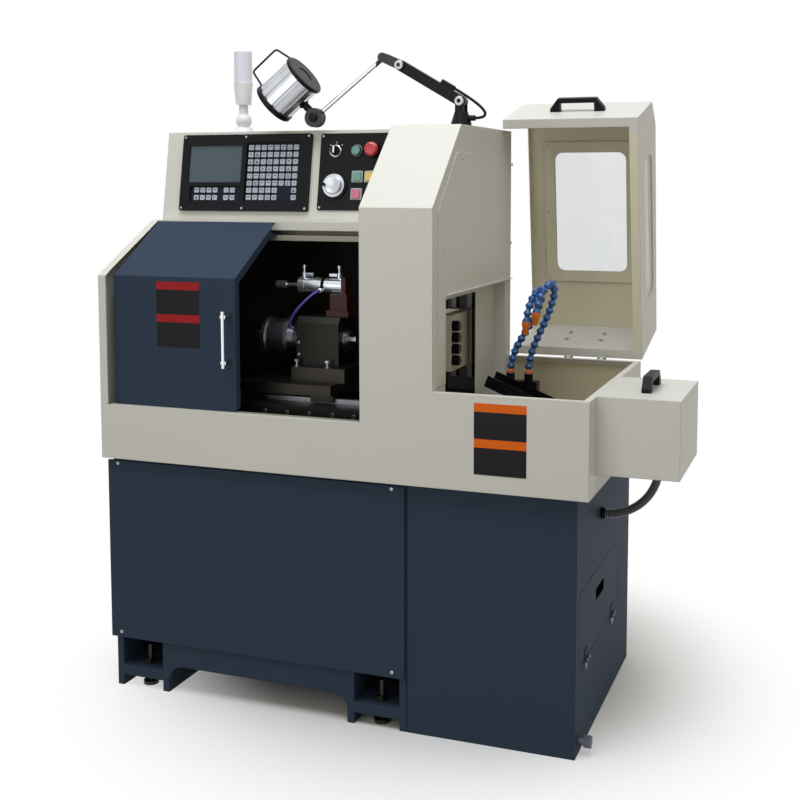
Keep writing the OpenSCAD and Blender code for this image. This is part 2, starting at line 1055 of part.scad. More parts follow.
module rear_cover() {
  x0 = guard_x0 + rear_in;
  x1 = hood_x0 - rear_in;
  z0 = tray_z + rear_up;
  z1 = con_z0 - rear_in;
  color(cream) {
    block(x0, x1, guard_y1, guard_y1 + rear_t, z0, z1);
    for (share = louvre_shares)
      for (i = [0 : louvre_count - 1])
        translate([x0 + share * (x1 - x0), guard_y1 + rear_t,
          z0 + louvre_up + i * louvre_pitch])
          along_x(0, louvre_w)
            polygon([[0, 0], [louvre_out, 0], [0, louvre_h]]);
  }
}

module hood_partition() {
  color(cream)
    difference() {
      along_x(hood_x0, hood_x0 + sheet_t)
        polygon(inset(hood_profile, sheet_t));
      block(hood_x0 - eps, hood_x0 + 2 * sheet_t, guard_y0 + part_open_in,
        guard_y1 - part_open_in / 2, tray_z, tray_z + part_open_up);
    }
}

module hood_side() {
  x0 = hood_right - recess;
  color(cream) {
    difference() {
      along_x(hood_right - sheet_t, hood_right)
        polygon(inset(hood_profile, sheet_t));
      block(hood_right - 2 * sheet_t, hood_right + eps, side_open_y0, side_open_y1,
        side_open_z0, side_open_z1);
    }
    difference() {
      block(x0, hood_right - sheet_t / 2, side_open_y0 - sheet_t, side_open_y1 + sheet_t,
        side_open_z0 - sheet_t, side_open_z1 + sheet_t);
      block(x0 + sheet_t, hood_right, side_open_y0, side_open_y1, side_open_z0,
        side_open_z1);
      block(x0 - eps, x0 + 2 * sheet_t, inner_y0, inner_y1, side_open_z0 + inner_edge,
        side_open_z1 - inner_edge);
    }
  }
}

module hood_side_panel() {
  y0 = guard_y0 + side_in;
  y1 = guard_y1 - side_rear_in;
  z1 = hood_z - side_top_in;
  low = side_open_z1 + side_lip_gap;
  color(cream) {
    along_x(hood_right, hood_right + sheet_t)
      polygon([
        [y0, rim_z + side_foot], [y0 + side_strip, rim_z + side_foot],
        [y0 + side_strip, low], [y1, low], [y1, z1], [slant_y - side_in, z1],
        [y0, fold_z - side_fold_in]
      ]);
    block(hood_right, hood_right + side_lip, y0 + side_strip, y1, low, low + sheet_t);
  }
}

// Console

module console_housing() {
  outline = [
    [con_y0, con_z0], [guard_y1, con_z0], [guard_y1, con_top],
    [con_y0 + console_lean, con_top]
  ];
  color(cream)
    difference() {
      along_x(guard_x0, hood_x0)
        polygon(outline);
      along_x(guard_x0 + sheet_t, hood_x0 - sheet_t)
        polygon(inset(outline, sheet_t));
      on_console()
        for (p = [[bezel_x, bezel_up, bezel_w, bezel_h], [plate_x, plate_up, plate_w, plate_h]])
          translate([p[0] + back_in, p[1] + back_in, -2 * sheet_t])
            cube([p[2] - 2 * back_in, p[3] - 2 * back_in, 2 * sheet_t + eps]);
    }
}

module cnc_bezel() {
  color(black)
    on_console()
      translate([bezel_x, bezel_up, 0])
        difference() {
          linear_extrude(bezel_t)
            round_rect(bezel_w, bezel_h, bezel_r);
          for (p = [
            [screen_x, screen_up, screen_w, screen_h],
            [keys_x, keys_up, keys_w, keys_h], [soft_x, soft_up, soft_w, soft_h]
          ])
            translate([p[0], p[1], bezel_t - pocket_t])
              cube([p[2], p[3], pocket_t + eps]);
        }
}

module cnc_screen() {
  color(iron)
    on_console()
      translate([bezel_x + screen_x + soft_gap, bezel_up + screen_up + soft_gap,
        bezel_t - pocket_t])
        cube([screen_w - 2 * soft_gap, screen_h - 2 * soft_gap, screen_t]);
}

module key(x, y) {
  translate([x - key_w / 2, y - key_h / 2, film_t - film_t / 2])
    cube([key_w, key_h, key_t]);
}

module cnc_keys() {
  keys_mid = keys_w / 2 - key_pitch_x * (key_cols - 1) / 2;
  color(silver)
    on_console()
      translate([bezel_x, bezel_up, bezel_t - pocket_t]) {
        translate([keys_x + soft_gap, keys_up + soft_gap, 0])
          cube([keys_w - 2 * soft_gap, keys_h - 2 * soft_gap, film_t]);
        translate([soft_x + soft_gap, soft_up + soft_gap, 0])
          cube([soft_w - 2 * soft_gap, soft_h - 2 * soft_gap, film_t]);
        for (r = [0 : key_rows - 1])
          for (c = [0 : key_cols - 1])
            if (r >= wide_rows || c < key_cols - 3 || c == key_cols - 1)
              key(keys_x + keys_mid + c * key_pitch_x,
                keys_up + key_h * key_low_share + r * key_pitch_y);
        for (r = [0, 1])
          for (c = [0 : soft_cols - 1])
            key(soft_x + soft_in + c * key_pitch_x + (c < soft_first ? 0 : soft_split),
              soft_up + soft_h * (1 + 2 * r) / 4);
      }
}

module operator_plate() {
  color(black)
    on_console()
      translate([plate_x, plate_up, 0])
        difference() {
          union() {
            linear_extrude(plate_t)
              round_rect(plate_w, plate_h, bezel_r);
            for (x = [selector_x, start_x, estop_x])
              translate([x, top_row_up, 0])
                cylinder(h = plate_t + collar_t, r = collar_r);
            translate([wheel_x, wheel_up, 0])
              cylinder(h = plate_t + wheel_base_t, r = wheel_base_r);
            for (p = square_places)
              translate([p[0] - square_frame / 2, p[1] - square_frame / 2, 0])
                cube([square_frame, square_frame, plate_t + square_frame_t]);
          }
          for (x = [selector_x, start_x, estop_x])
            translate([x, top_row_up, -eps])
              cylinder(h = plate_t + collar_t + 2 * eps, r = stem_r + run_clear);
          translate([wheel_x, wheel_up, -eps])
            cylinder(h = plate_t + wheel_base_t + 2 * eps, r = stem_r + run_clear);
          for (p = square_places)
            translate([p[0] - square_w / 2 - soft_gap, p[1] - square_w / 2 - soft_gap,
              -eps])
              cube([square_w + 2 * soft_gap, square_w + 2 * soft_gap,
                plate_t + square_frame_t + 2 * eps]);
        }
}

square_places = [[square_x, square_up], [square_x, square_up2], [square_x2, square_up]];

// A control of the operator plate, drawn from the face of its collar or frame outward
module control(x, y, lift) {
  on_console()
    translate([plate_x + x, plate_up + y, plate_t + lift])
      children();
}

module stem(rise) {
  translate([0, 0, -stem_in])
    cylinder(h = stem_in + rise, r = stem_r);
}

module selector_knob() {
  color(black)
    control(selector_x, top_row_up, collar_t) {
      stem(knob_out / 2);
      translate([0, 0, soft_gap])
        cylinder(h = knob_out / 2, r = knob_r);
      translate([-knob_bar_w / 2, -knob_r, soft_gap])
        cube([knob_bar_w, 2 * knob_r, knob_out]);
    }
}

module start_button() {
  color(green)
    control(start_x, top_row_up, collar_t) {
      stem(button_out);
      translate([0, 0, button_out / 2])
        cylinder(h = button_out / 2, r = button_r);
    }
}

module estop_button() {
  color(red)
    control(estop_x, top_row_up, collar_t) {
      stem(stop_neck);
      translate([0, 0, soft_gap + stop_neck / 2])
        cylinder(h = stop_neck / 2, r1 = stop_neck_r, r2 = estop_d / 2);
      translate([0, 0, soft_gap + stop_neck])
        cylinder(h = stop_dome / 2, r = estop_d / 2);
      translate([0, 0, soft_gap + stop_neck + stop_dome / 2])
        cylinder(h = stop_dome / 2, r1 = estop_d / 2, r2 = estop_d / 4);
    }
}

module handwheel() {
  color(silver)
    control(wheel_x, wheel_up, wheel_base_t) {
      stem(wheel_t);
      translate([0, 0, soft_gap])
        cylinder(h = wheel_t, r = wheel_d / 2);
      translate([0, 0, soft_gap + wheel_t])
        cylinder(h = wheel_t / 3, r = wheel_hub_r);
      translate([wheel_d / 2 * crank_share, 0, soft_gap + wheel_t])
        cylinder(h = crank_h, r = crank_r);
    }
}

module square_button(p) {
  control(p[0] - square_w / 2, p[1] - square_w / 2, square_frame_t - square_t / 2)
    cube([square_w, square_w, square_t]);
}

module green_button() {
  color(green)
    square_button(square_places[0]);
}

module red_button() {
  color(pink)
    square_button(square_places[1]);
}

module yellow_button() {
  color(yellow)
    square_button(square_places[2]);
}

// Sliding door

lower_y0 = guard_y0 + rim_w;

module door_rails() {
  color(cream) {
    difference() {
      block(guard_x0 + end_t, hood_x0, rail_front, con_y0 + rail_behind, con_z0 - rail_h,
        con_z0);
      block(guard_x0, hood_right, rail_front - eps, rail_front + rail_slot_in,
        con_z0 - rail_h + rail_slot_up, con_z0 - rail_h + rail_slot_up + rail_slot_h);
    }
    difference() {
      block(guard_x0 + end_t, hood_x0, lower_y0, lower_y0 + lower_rail_w,
        sill_z - lower_rail_h, sill_z);
      block(guard_x0, hood_right, door_y - soft_gap, door_y + sheet_t + soft_gap,
        sill_z - groove_t, sill_z + eps);
    }
  }
}

module sliding_door() {
  low = sill_z - groove_t + soft_gap;
  top_y = door_y + door_run;
  slope = unit([door_run, door_top_z - door_fold_z]);
  back = [-slope[1], slope[0]] * -1;
  miter = (back + [1, 0]) / (1 + back[0]);
  outer = [[door_y, low], [door_y, door_fold_z], [top_y, door_top_z]];
  tongue_z = con_z0 - rail_h + rail_slot_up + soft_gap;
  tongue_y = door_y + door_run * (tongue_z - door_fold_z) / (door_top_z - door_fold_z);
  color(navy) {
    along_x(door_x0, door_x1)
      polygon([
        outer[0], [door_y + sheet_t, low], outer[1] + sheet_t * miter,
        outer[2] + sheet_t * back, outer[2], outer[1]
      ]);
    for (x = [door_x0, door_x1 - sheet_t])
      along_x(x, x + sheet_t)
        polygon([
          [door_y, sill_z + door_lift], [door_y + door_return, sill_z + door_lift],
          outer[1] + door_return * miter,
          outer[2] + door_return * back - slope * tongue_in, outer[2] - slope * tongue_in,
          outer[1]
        ]);
    along_x(door_x0, door_x1)
      polygon([
        [tongue_y + sheet_t, tongue_z], [rail_front + tongue_in, tongue_z],
        [rail_front + tongue_in, tongue_z + tongue_t],
        [tongue_y + sheet_t + tongue_t * slope[0] / slope[1], tongue_z + tongue_t]
      ]);
  }
}

module door_handle() {
  x = door_x1 - door_handle_in;
  z0 = tray_z + door_handle_up;
  color(silver) {
    for (z = [z0 + door_post_r, z0 + door_handle_len - door_post_r])
      rod_y(door_y - door_post, door_y, x, z, door_post_r);
    rod_z(z0 - door_cap / 2, z0 + door_handle_len + door_cap / 2, x, door_y - door_post,
      door_bar_r);
  }
}

// Flip cover: y and z from the hinge, x as in the shop frame

function cover_profile() = [
  [-corner_in, corner_up],
  [-corner_in - cover_back_lean, corner_up + cover_back_h],
  [-corner_in - cover_len - cover_lean + chamfer_run, corner_up + cover_front_h + chamfer_rise],
  [-corner_in - cover_len - cover_lean, corner_up + cover_front_h],
  [-corner_in - cover_len, corner_up]
];

module turned_open() {
  translate([0, hinge_y, hinge_z])
    rotate([-cover_open, 0, 0])
      children();
}

// The cover's top panel: x as in the shop frame, y forward from its rear edge, z outward
module on_cover_top() {
  p = cover_profile()[1];
  q = cover_profile()[2];
  translate([0, p[0], p[1]])
    rotate([180 + atan2(q[1] - p[1], q[0] - p[0]), 0, 0])
      mirror([0, 1, 0])
        children();
}

window_x0 = cover_x0 + (cover_x1 - cover_x0 - window_w) / 2 - cover_gap;

module flip_cover() {
  profile = cover_profile();
  inner = inset(profile, sheet_t);
  flange_x = cover_x1 - sheet_t / 2;
  front_edge = -corner_in - cover_len + sheet_t / 2;
  rear_edge = -corner_in - sheet_t / 2;
  color(cream)
    turned_open() {
      difference() {
        along_x(cover_x0, cover_x1)
          polygon(profile);
        along_x(cover_x0 - eps, cover_x1 - sheet_t)
          polygon([
            [inner[0][0], corner_up - eps], inner[1], inner[2], inner[3],
            [inner[4][0], corner_up - eps]
          ]);
        on_cover_top()
          translate([window_x0, window_from_back, -2 * sheet_t])
            linear_extrude(4 * sheet_t)
              round_rect(window_w, window_len, window_r);
        translate([0, -corner_in - side_window_back - side_window_len,
          corner_up + side_window_up])
          along_x(cover_x1 - 2 * sheet_t, cover_x1 + eps)
            round_rect(side_window_len, side_window_h, side_window_r);
      }
      for (y0 = [front_edge, rear_edge - cover_flange])
        block(cover_x0, flange_x, y0, y0 + cover_flange, corner_up, corner_up + sheet_t);
      block(flange_x - cover_flange, flange_x, front_edge, rear_edge,
        corner_up, corner_up + sheet_t);
      intersection() {
        along_x(cover_x0, cover_x0 + sheet_t)
          polygon(profile);
        on_cover_top()
          block(0, cover_x1, 0, cover_len, -cover_flange, 0);
      }
      cover_leaves();
    }
}

module cover_windows() {
  color(clear)
    turned_open() {
      on_cover_top()
        translate([window_x0 - pane_over, window_from_back - pane_over,
          -sheet_t - pane_t - soft_gap])
          linear_extrude(pane_t)
            round_rect(window_w + 2 * pane_over, window_len + 2 * pane_over, window_r);
      translate([0, -corner_in - side_window_back - side_window_len - pane_over,
        corner_up + side_window_up - pane_over])
        along_x(cover_x1 - sheet_t - pane_t - soft_gap, cover_x1 - sheet_t - soft_gap)
          round_rect(side_window_len + 2 * pane_over, side_window_h + 2 * pane_over,
            side_window_r);
    }
}

module cover_handle() {
  p = cover_profile()[4];
  q = cover_profile()[3];
  color(black)
    turned_open()
      translate([(cover_x0 + cover_x1 - bridge_len) / 2, p[0], p[1]])
        rotate([atan2(q[1] - p[1], q[0] - p[0]), 0, 0])
          translate([0, cover_handle_up, 0])
            rotate([0, 0, -90])
              bridge_handle();
}

// The two hinge leaves on the cover's back, round their pins
module cover_leaves() {
  p = cover_profile()[0];
  q = cover_profile()[1];
  for (place = butt_places)
    translate([cover_x0 + place, 0, 0])
      difference() {
        union() {
          translate([0, p[0], p[1]])
            rotate([atan2(p[0] - q[0], q[1] - p[1]), 0, 0])
              block(-butt_w / 2, butt_w / 2, 0, butt_t, -p[1], butt_leaf_h);
          rod_x(-butt_w / 4, butt_w / 4, 0, 0, butt_r);
        }
        rod_x(-butt_w, butt_w, 0, 0, butt_pin_r + run_clear);
        for (side = [-1, 1])
          translate([side * butt_w / 2, 0, 0])
            rod_x(-butt_w / 4 - soft_gap, butt_w / 4 + soft_gap, 0, 0,
              butt_r + soft_gap);
      }
}

module cover_hinges() {
  color(steel)
    for (place = butt_places)
      translate([cover_x0 + place, hinge_y, hinge_z]) {
        difference() {
          union() {
            block(-butt_w / 2, butt_w / 2, -hinge_back, 0, -butt_r, -butt_r + butt_t);
            block(-butt_w / 2, butt_w / 2, -hinge_back, -hinge_back + butt_t,
              -butt_r - butt_low, -butt_r + butt_t);
            rod_x(-butt_w / 2, butt_w / 2, 0, 0, butt_r);
          }
          rod_x(-butt_w / 4 - soft_gap, butt_w / 4 + soft_gap, 0, 0,
            butt_r + soft_gap);
        }
        rod_x(-butt_w / 2, butt_w / 2, 0, 0, butt_pin_r);
      }
}

// Motor cover and conduit

module motor_cover() {
  y1 = motor_y0 + motor_depth;
  z1 = motor_z0 + motor_h;
  color(cream)
    difference() {
      block(guard_x1, motor_x1, motor_y0, y1, motor_z0, z1);
      block(guard_x1 - eps, motor_x1 - sheet_t, motor_y0 + sheet_t, y1 - sheet_t,
        motor_z0 + sheet_t, z1 - sheet_t);
      rod_z(motor_z0 - eps, motor_z0 + 2 * sheet_t, conduit_x, conduit_y, conduit_d / 2);
    }
}

module motor_cover_handle() {
  color(black)
    translate([guard_x1 + motor_handle_x + bridge_w / 2, motor_y0 + motor_handle_y,
      motor_z0 + motor_h])
      bridge_handle();
}

conduit_x = cabinet_len + gland_t + conduit_r;
conduit_rise = motor_z0 - gland_t - conduit_z - conduit_r;
conduit_arc = conduit_r * PI / 2;
conduit_rings = floor((conduit_arc + conduit_rise) / conduit_pitch * 2);

// The conduit's place and direction at share t of its length, from the cabinet up
function conduit_at(t) = let (s = t * (conduit_arc + conduit_rise))
  s < conduit_arc
    ? let (a = 90 * s / conduit_arc)
      [[cabinet_len + gland_t + conduit_r * sin(a), conduit_y,
        conduit_z + conduit_r * (1 - cos(a))], [cos(a), 0, sin(a)]]
    : [[conduit_x, conduit_y, conduit_z + conduit_r + s - conduit_arc], [0, 0, 1]];

module conduit() {
  ends = [for (i = [0 : conduit_rings]) conduit_at(i / conduit_rings)];
  radii = [
    for (i = [0 : conduit_rings])
      conduit_d / 2 * (i % 2 == 0 ? conduit_dip_share : 1)
  ];
  color(black)
    tube([for (e = ends) e[0]], [for (e = ends) e[1]], radii, hose_sides, [0, 1, 0]);
}

module gland() {
  cylinder(h = gland_nut_t, r = gland_r, $fn = hex);
  cylinder(h = gland_t, r = gland_r * conduit_dip_share);
}

module conduit_glands() {
  color(black) {
    translate([cabinet_len, conduit_y, conduit_z])
      rotate([0, 90, 0])
        gland();
    translate([conduit_x, conduit_y, motor_z0])
      rotate([180, 0, 0])
        gland();
  }
}

// Beacon

module beacon_base() {
  color(frost)
    translate([beacon_x, beacon_y, con_top]) {
      cylinder(h = beacon_foot_h, r1 = beacon_foot_r, r2 = ball_r);
      translate([0, 0, ball_up])
        sphere(ball_r);
      cylinder(h = beacon_neck_h, r = beacon_neck_r);
      translate([0, 0, beacon_neck_h - eps])
        cylinder(h = sleeve_h, r1 = sleeve_low_r, r2 = sleeve_r);
    }
}

module beacon_lens() {
  color(frost)
    translate([beacon_x, beacon_y, con_top + beacon_neck_h + sleeve_h - eps])
      rotate_extrude() {
        square([lens_d / 2 - lens_round, lens_h]);
        square([lens_d / 2, lens_h - lens_round]);
        translate([lens_d / 2 - lens_round, lens_h - lens_round])
          circle(lens_round);
      }
}

// Lamp, drawn in the x-z plane through its base

function heading(a) = [cos(a), sin(a)];
shoulder = [lamp_x, hood_z + shoulder_up];
elbow = shoulder + arm_len * heading(arm_deg);
tip = elbow + yoke_len * heading(yoke_deg);
rod_end = tip + rod_len * heading(rod_deg);
knuckle = rod_end + disc_ahead * heading(rod_deg);
head_mid = knuckle + head_from;

// A place in the lamp's plane: x along the heading, y across the plane, z square to both
module at_lamp(p, a) {
  translate([p[0], lamp_y, p[1]])
    rotate([0, -a, 0])
      children();
}

// A flat link from the origin along x, with round ends
module link(len, w, t) {
  rotate([90, 0, 0])
    translate([0, 0, -t / 2])
      linear_extrude(t) {
        translate([0, -w / 2])
          square([len, w]);
        circle(w / 2);
        translate([len, 0])
          circle(w / 2);
      }
}

module pivot_pin(half) {
  rotate([90, 0, 0])
    translate([0, 0, -half])
      cylinder(h = 2 * half, r = pivot_r);
}

module pivot_caps(half) {
  for (side = [0, 180])
    rotate([90 + side, 0, 0])
      translate([0, 0, half])
        cylinder(h = cap_t, r = cap_r);
}

ear_in = arm_t / 2 + soft_gap;
ear_out = ear_in + ear_t;

module lamp_base() {
  color(black) {
    translate([lamp_x, lamp_y, hood_z]) {
      cylinder(h = lamp_flange_t, r = lamp_base_r);
      translate([0, 0, lamp_flange_t])
        cylinder(h = lamp_base_h - lamp_flange_t, r1 = lamp_base_r, r2 = lamp_base_top_r);
    }
    for (side = [-1, 1])
      translate([0, side * (ear_in + ear_t / 2), 0])
        at_lamp([lamp_x, hood_z + lamp_base_h - ear_t], 90)
          link(shoulder_up - lamp_base_h + ear_t, ear_w, ear_t);
    translate([lamp_x, lamp_y, hood_z])
      rotate([0, 90, 0])
        translate([-cable_end_up, 0, 0])
          cylinder(h = lamp_base_r + lamp_gland_out, r = lamp_gland_r);
    at_lamp(shoulder, 0) {
      pivot_pin(ear_out);
      pivot_caps(ear_out);
    }
  }
}

module lamp_lower_arm() {
  color(black)
    at_lamp(shoulder, arm_deg)
      difference() {
        union() {
          link(arm_len, arm_w, arm_t);
          translate([block_from, -block_w / 2, -arm_w / 2 - block_out])
            cube([block_len, block_w, block_out + eps]);
        }
        for (x = [0, arm_len])
          translate([x, 0, 0])
            rotate([90, 0, 0])
              translate([0, 0, -arm_t])
                cylinder(h = 2 * arm_t, r = pivot_r + run_clear);
      }
}

module lamp_upper_arm() {
  color(steel) {
    at_lamp(elbow, yoke_deg) {
      for (side = [-1, 1])
        translate([0, side * (ear_in + ear_t / 2), 0])
          link(yoke_len, yoke_w, ear_t);
      translate([yoke_len, 0, 0])
        rotate([90, 0, 0])
          translate([0, 0, -ear_out])
            cylinder(h = 2 * ear_out, r = yoke_w / 2);
      pivot_pin(ear_out);
      pivot_caps(ear_out);
    }
    at_lamp(tip, rod_deg)
      rotate([0, 90, 0])
        cylinder(h = rod_len, r = rod_r);
    difference() {
      union() {
        at_lamp(knuckle, 0)
          translate([0, -soft_gap / 2, 0])
            rotate([90, 0, 0])
              cylinder(h = disc_t, r = disc_r);
        intersection() {
          at_lamp(tip, rod_deg)
            rotate([0, 90, 0])
              cylinder(h = rod_len + disc_ahead, r = rod_r);
          at_lamp(knuckle, 0)
            block(-disc_r, disc_r, -disc_t, -soft_gap / 2, -disc_r, disc_r);
        }
      }
      at_lamp(knuckle, 0)
        rotate([90, 0, 0])
          cylinder(h = 2 * disc_t, r = pivot_r + run_clear);
    }
  }
}

// The lamp head's own axis: x from its glass to its rear, through its middle
module on_head() {
  at_lamp(head_mid, head_deg)
    children();
}

module along_head(x0, x1) {
  translate([x0, 0, 0])
    rotate([0, 90, 0])
      linear_extrude(x1 - x0)
        children();
}

module lamp_head() {
  half = head_len / 2;
  color(silver)
    on_head() {
      along_head(-half + ring_front, half - ring_rear)
        difference() {
          union() {
            circle(head_d / 2 - rib_out);
            for (i = [0 : rib_count - 1])
              rotate(360 * i / rib_count)
                translate([0, -rib_out * rib_share])
                  square([head_d / 2, 2 * rib_out * rib_share]);
          }
          circle(head_d / 2 - rib_out - head_wall);
        }
    }
}

module lamp_trim() {
  half = head_len / 2;
  out = head_d / 2 + ring_over;
  front = -half + ring_front;
  color(black) {
    on_head() {
      difference() {
        along_head(-half, front)
          circle(out);
        along_head(-half - eps, front - glass_in)
          circle(head_d / 2 - ring_over);
      }
      along_head(half - ring_rear, half)
        circle(out);
      bail();
    }
    at_lamp(knuckle, 0)
      translate([0, soft_gap / 2, 0]) {
        rotate([-90, 0, 0])
          cylinder(h = disc_t, r = disc_r);
        rotate([90, 0, 0])
          cylinder(h = disc_t + 3 * soft_gap, r = pivot_r);
        translate([0, -disc_t - 2 * soft_gap, 0])
          rotate([90, 0, 0])
            cylinder(h = cap_t, r = cap_r);
      }
    translate([0, stub_r + soft_gap, 0])
      difference() {
        at_lamp(knuckle, atan2(head_from[1], head_from[0]))
          rotate([0, 90, 0])
            cylinder(h = norm(head_from), r = stub_r);
        translate([0, -stub_r - soft_gap, 0])
          on_head()
            along_head(-head_len, head_len)
              circle(head_d / 2 + soft_gap);
      }
  }
}

// The bail over the lamp head, a bent strip from its front ring to its rear ring
module bail() {
  half = head_len / 2;
  foot_out = head_d / 2;
  front = -half + ring_front / 2;
  rear = half - ring_rear / 2;
  top_front = -half + bail_front_in;
  top_rear = half - bail_rear_in;
  outer = [
    [front - bail_r, foot_out],
    [top_front - bail_r, bail_out + bail_r],
    [top_rear + bail_r, bail_out + bail_r],
    [rear + bail_r, foot_out],
  ];
  inner = [
    [rear - bail_r, foot_out],
    [top_rear - bail_r, bail_out - bail_r],
    [top_front + bail_r, bail_out - bail_r],
    [front + bail_r, foot_out],
  ];
  rotate([90, 0, 0])
    translate([0, 0, -bail_r])
      linear_extrude(2 * bail_r)
        polygon(concat(outer, inner));
}

module lamp_cable() {
  across = [sin(arm_deg), -cos(arm_deg)];
  from = shoulder + (block_from - soft_gap) * heading(arm_deg)
    + (arm_w / 2 + block_out / 2) * across;
  to = [lamp_x + lamp_base_r + lamp_gland_out, hood_z + cable_end_up];
  route = [
    from, from - cable_loop * heading(arm_deg), to + [cable_loop, 0], to
  ];
  path = [for (p = route) [p[0], lamp_y, p[1]]];
  color(black)
    tube([for (i = [0 : cable_steps]) bezier(path, i / cable_steps)],
      [for (i = [0 : cable_steps]) bezier_slope(path, i / cable_steps)],
      [for (i = [0 : cable_steps]) wire_r], hose_sides, [0, 1, 0]);
}

// Bed, headstock and tools

module bed() {
  color(iron)
    difference() {
      union() {
        block(bed_x0, bed_x1, bed_y0, bed_y1, floor_z, bed_z);
        block(column_x0, bed_x1, column_y0, bed_y1, floor_z, bed_z + column_h);
      }
      block(bed_x0 + bed_rib, column_x0 - bed_rib, guide_ys[0] + bed_rib,
        guide_ys[1] - bed_rib, bed_z - bed_pocket, bed_z + eps);
    }
}

module linear_rails() {
  color(silver) {
    for (y = guide_ys)
      block(guide_x0, guide_x1, y - rail_w / 2, y + rail_w / 2, bed_z, bed_z + guide_h);
    for (x = post_rail_xs)
      block(x - post_rail_w / 2, x + post_rail_w / 2, column_y0 - post_rail_h, column_y0,
        bed_z + post_rail_low, bed_z + column_h);
  }
}

module headstock_slide() {
  shoe_gap = guide_h / 4;
  color(steel)
    difference() {
      union() {
        block(slide_x0, slide_x1, slide_y0, slide_y1, slide_z0, saddle_z0);
        block(saddle_x0, saddle_x1, saddle_y0, saddle_y1, saddle_z0, block_z0);
        for (x = [slide_x0, slide_x1 - shoe_len])
          for (y = guide_ys)
            block(x, x + shoe_len, y - shoe_w / 2, y + shoe_w / 2, bed_z + shoe_gap,
              slide_z0);
      }
      for (y = guide_ys)
        block(slide_x0 - eps, slide_x1 + eps, y - rail_w / 2 - soft_gap,
          y + rail_w / 2 + soft_gap, bed_z, bed_z + guide_h + soft_gap);
    }
}

module headstock() {
  color(iron)
    difference() {
      along_x(block_x0, block_x1)
        polygon([
          [block_y0, block_z0], [block_y1, block_z0],
          [block_y1, block_z1 - block_chamfer], [block_y1 - block_chamfer, block_z1],
          [block_y0 + block_chamfer, block_z1], [block_y0, block_z1 - block_chamfer]
        ]);
      rod_x(block_x0 - eps, block_x1 + eps, spindle_y, spindle_z, spindle_r + bearing_gap);
    }
}

module spindle() {
  drum_r = drum_d / 2;
  flange_x1 = block_x0 - soft_gap;
  nose_x0 = block_x1 + soft_gap;
  neck = collet_x1 - collet_len;
  color(steel)
    translate([0, spindle_y, spindle_z])
      rotate([0, 90, 0])
        rotate_extrude()
          polygon([
            [spindle_bore_r, draw_x0], [draw_r, draw_x0], [draw_r, drum_x0],
            [drum_r - drum_groove, drum_x0],
            [drum_r, drum_x0 + drum_groove],
            [drum_r, drum_x0 + drum_groove_w],
            [drum_r - drum_groove, drum_x0 + drum_groove_w + drum_groove],
            [drum_r - drum_groove, drum_x1 - drum_groove_w - drum_groove],
            [drum_r, drum_x1 - drum_groove_w], [drum_r, drum_x1 - drum_groove],
            [drum_r - drum_groove, drum_x1], [spindle_r, drum_x1],
            [spindle_r, flange_x1 - flange_t], [flange_r, flange_x1 - flange_t],
            [flange_r, flange_x1], [spindle_r, flange_x1], [spindle_r, nose_x0],
            [nose_r, nose_x0], [nose_r, nose_x1], [collet_r, nose_x1],
            [collet_r, collet_x1], [collet_d / 2, collet_x1], [collet_d / 2, neck],
            [spindle_bore_r, neck]
          ]);
}

module cylinder_bracket() {
  block(foot_x0, foot_x1, spindle_y - foot_half, spindle_y + foot_half, block_z1,
    block_z1 + foot_t);
  block(foot_x0 + foot_edge, foot_x1 - foot_edge, spindle_y - post_half, spindle_y + post_half,
    block_z1, foot_top);
  block(cyl_x1, cyl_x1 + post_t, spindle_y - post_half, spindle_y + post_half, foot_top - eps,
    cyl_z + post_top);
}

port_xs = [cyl_x0 + port_in, cyl_x1 - port_in];
port_z = cyl_z + cyl_cap_r;
air_start = [cyl_x0 + hose_from, spindle_y - cyl_r - hose_port_out, cyl_z - hose_low];

module clamp_cylinder() {
  color(brown)
    cylinder_bracket();
  color(silver)
    difference() {
      union() {
        rod_x(cyl_x0, cyl_x1, spindle_y, cyl_z, cyl_r);
        rod_x(cyl_x0, cyl_x0 + cyl_cap, spindle_y, cyl_z, cyl_cap_r - soft_gap);
        for (x = port_xs) {
          rod_z(cyl_z, port_z + port_h, x, spindle_y, port_r);
          rod_z(cyl_z, port_z + port_h + needle_h, x, spindle_y, needle_r);
          rod_z(port_z + port_h + needle_h, port_z + port_h + needle_h + port_knob_h, x,
            spindle_y, port_knob_r);
        }
        rod_x(port_xs[0], port_xs[0] + port_arm, spindle_y, port_z + port_h / 2, port_arm_r);
        rod_x(port_xs[1] - port_arm, port_xs[1], spindle_y, port_z + port_h / 2, port_arm_r);
        rod_x(cyl_x0 + collar_in, cyl_x0 + collar_in + collar_w, spindle_y, cyl_z,
          cyl_cap_r - soft_gap);
        rod_y(air_start[1], spindle_y, air_start[0], air_start[2], hose_fit_r);
      }
      rod_x(cyl_x0 - eps, cyl_x0 + rod_in + eps, spindle_y, cyl_z,
        piston_rod_r + run_clear);
    }
}

module cylinder_rod() {
  color(steel) {
    rod_x(rod_x0 + eps, cyl_x0 + rod_in, spindle_y, cyl_z, piston_rod_r);
    rod_x(rod_x0, rod_x0 + clevis_len, spindle_y, cyl_z, clevis_r);
  }
}

module air_hose() {
  end = [block_x0, block_y0 + hose_end_in, spindle_z + hose_end_up];
  route = [air_start, air_start - [0, hose_front, 0], end - [hose_bow, 0, 0], end];
  color(blue)
    tube([for (i = [0 : hose_steps]) bezier(route, i / hose_steps)],
      [for (i = [0 : hose_steps]) bezier_slope(route, i / hose_steps)],
      [for (i = [0 : hose_steps]) hose_r], hose_sides, [1, -1, 0]);
}

sleeve_zs = [
  for (i = [0 : sleeve_count - 1]) spindle_z + (i - (sleeve_count - 1) / 2) * sleeve_pitch
];

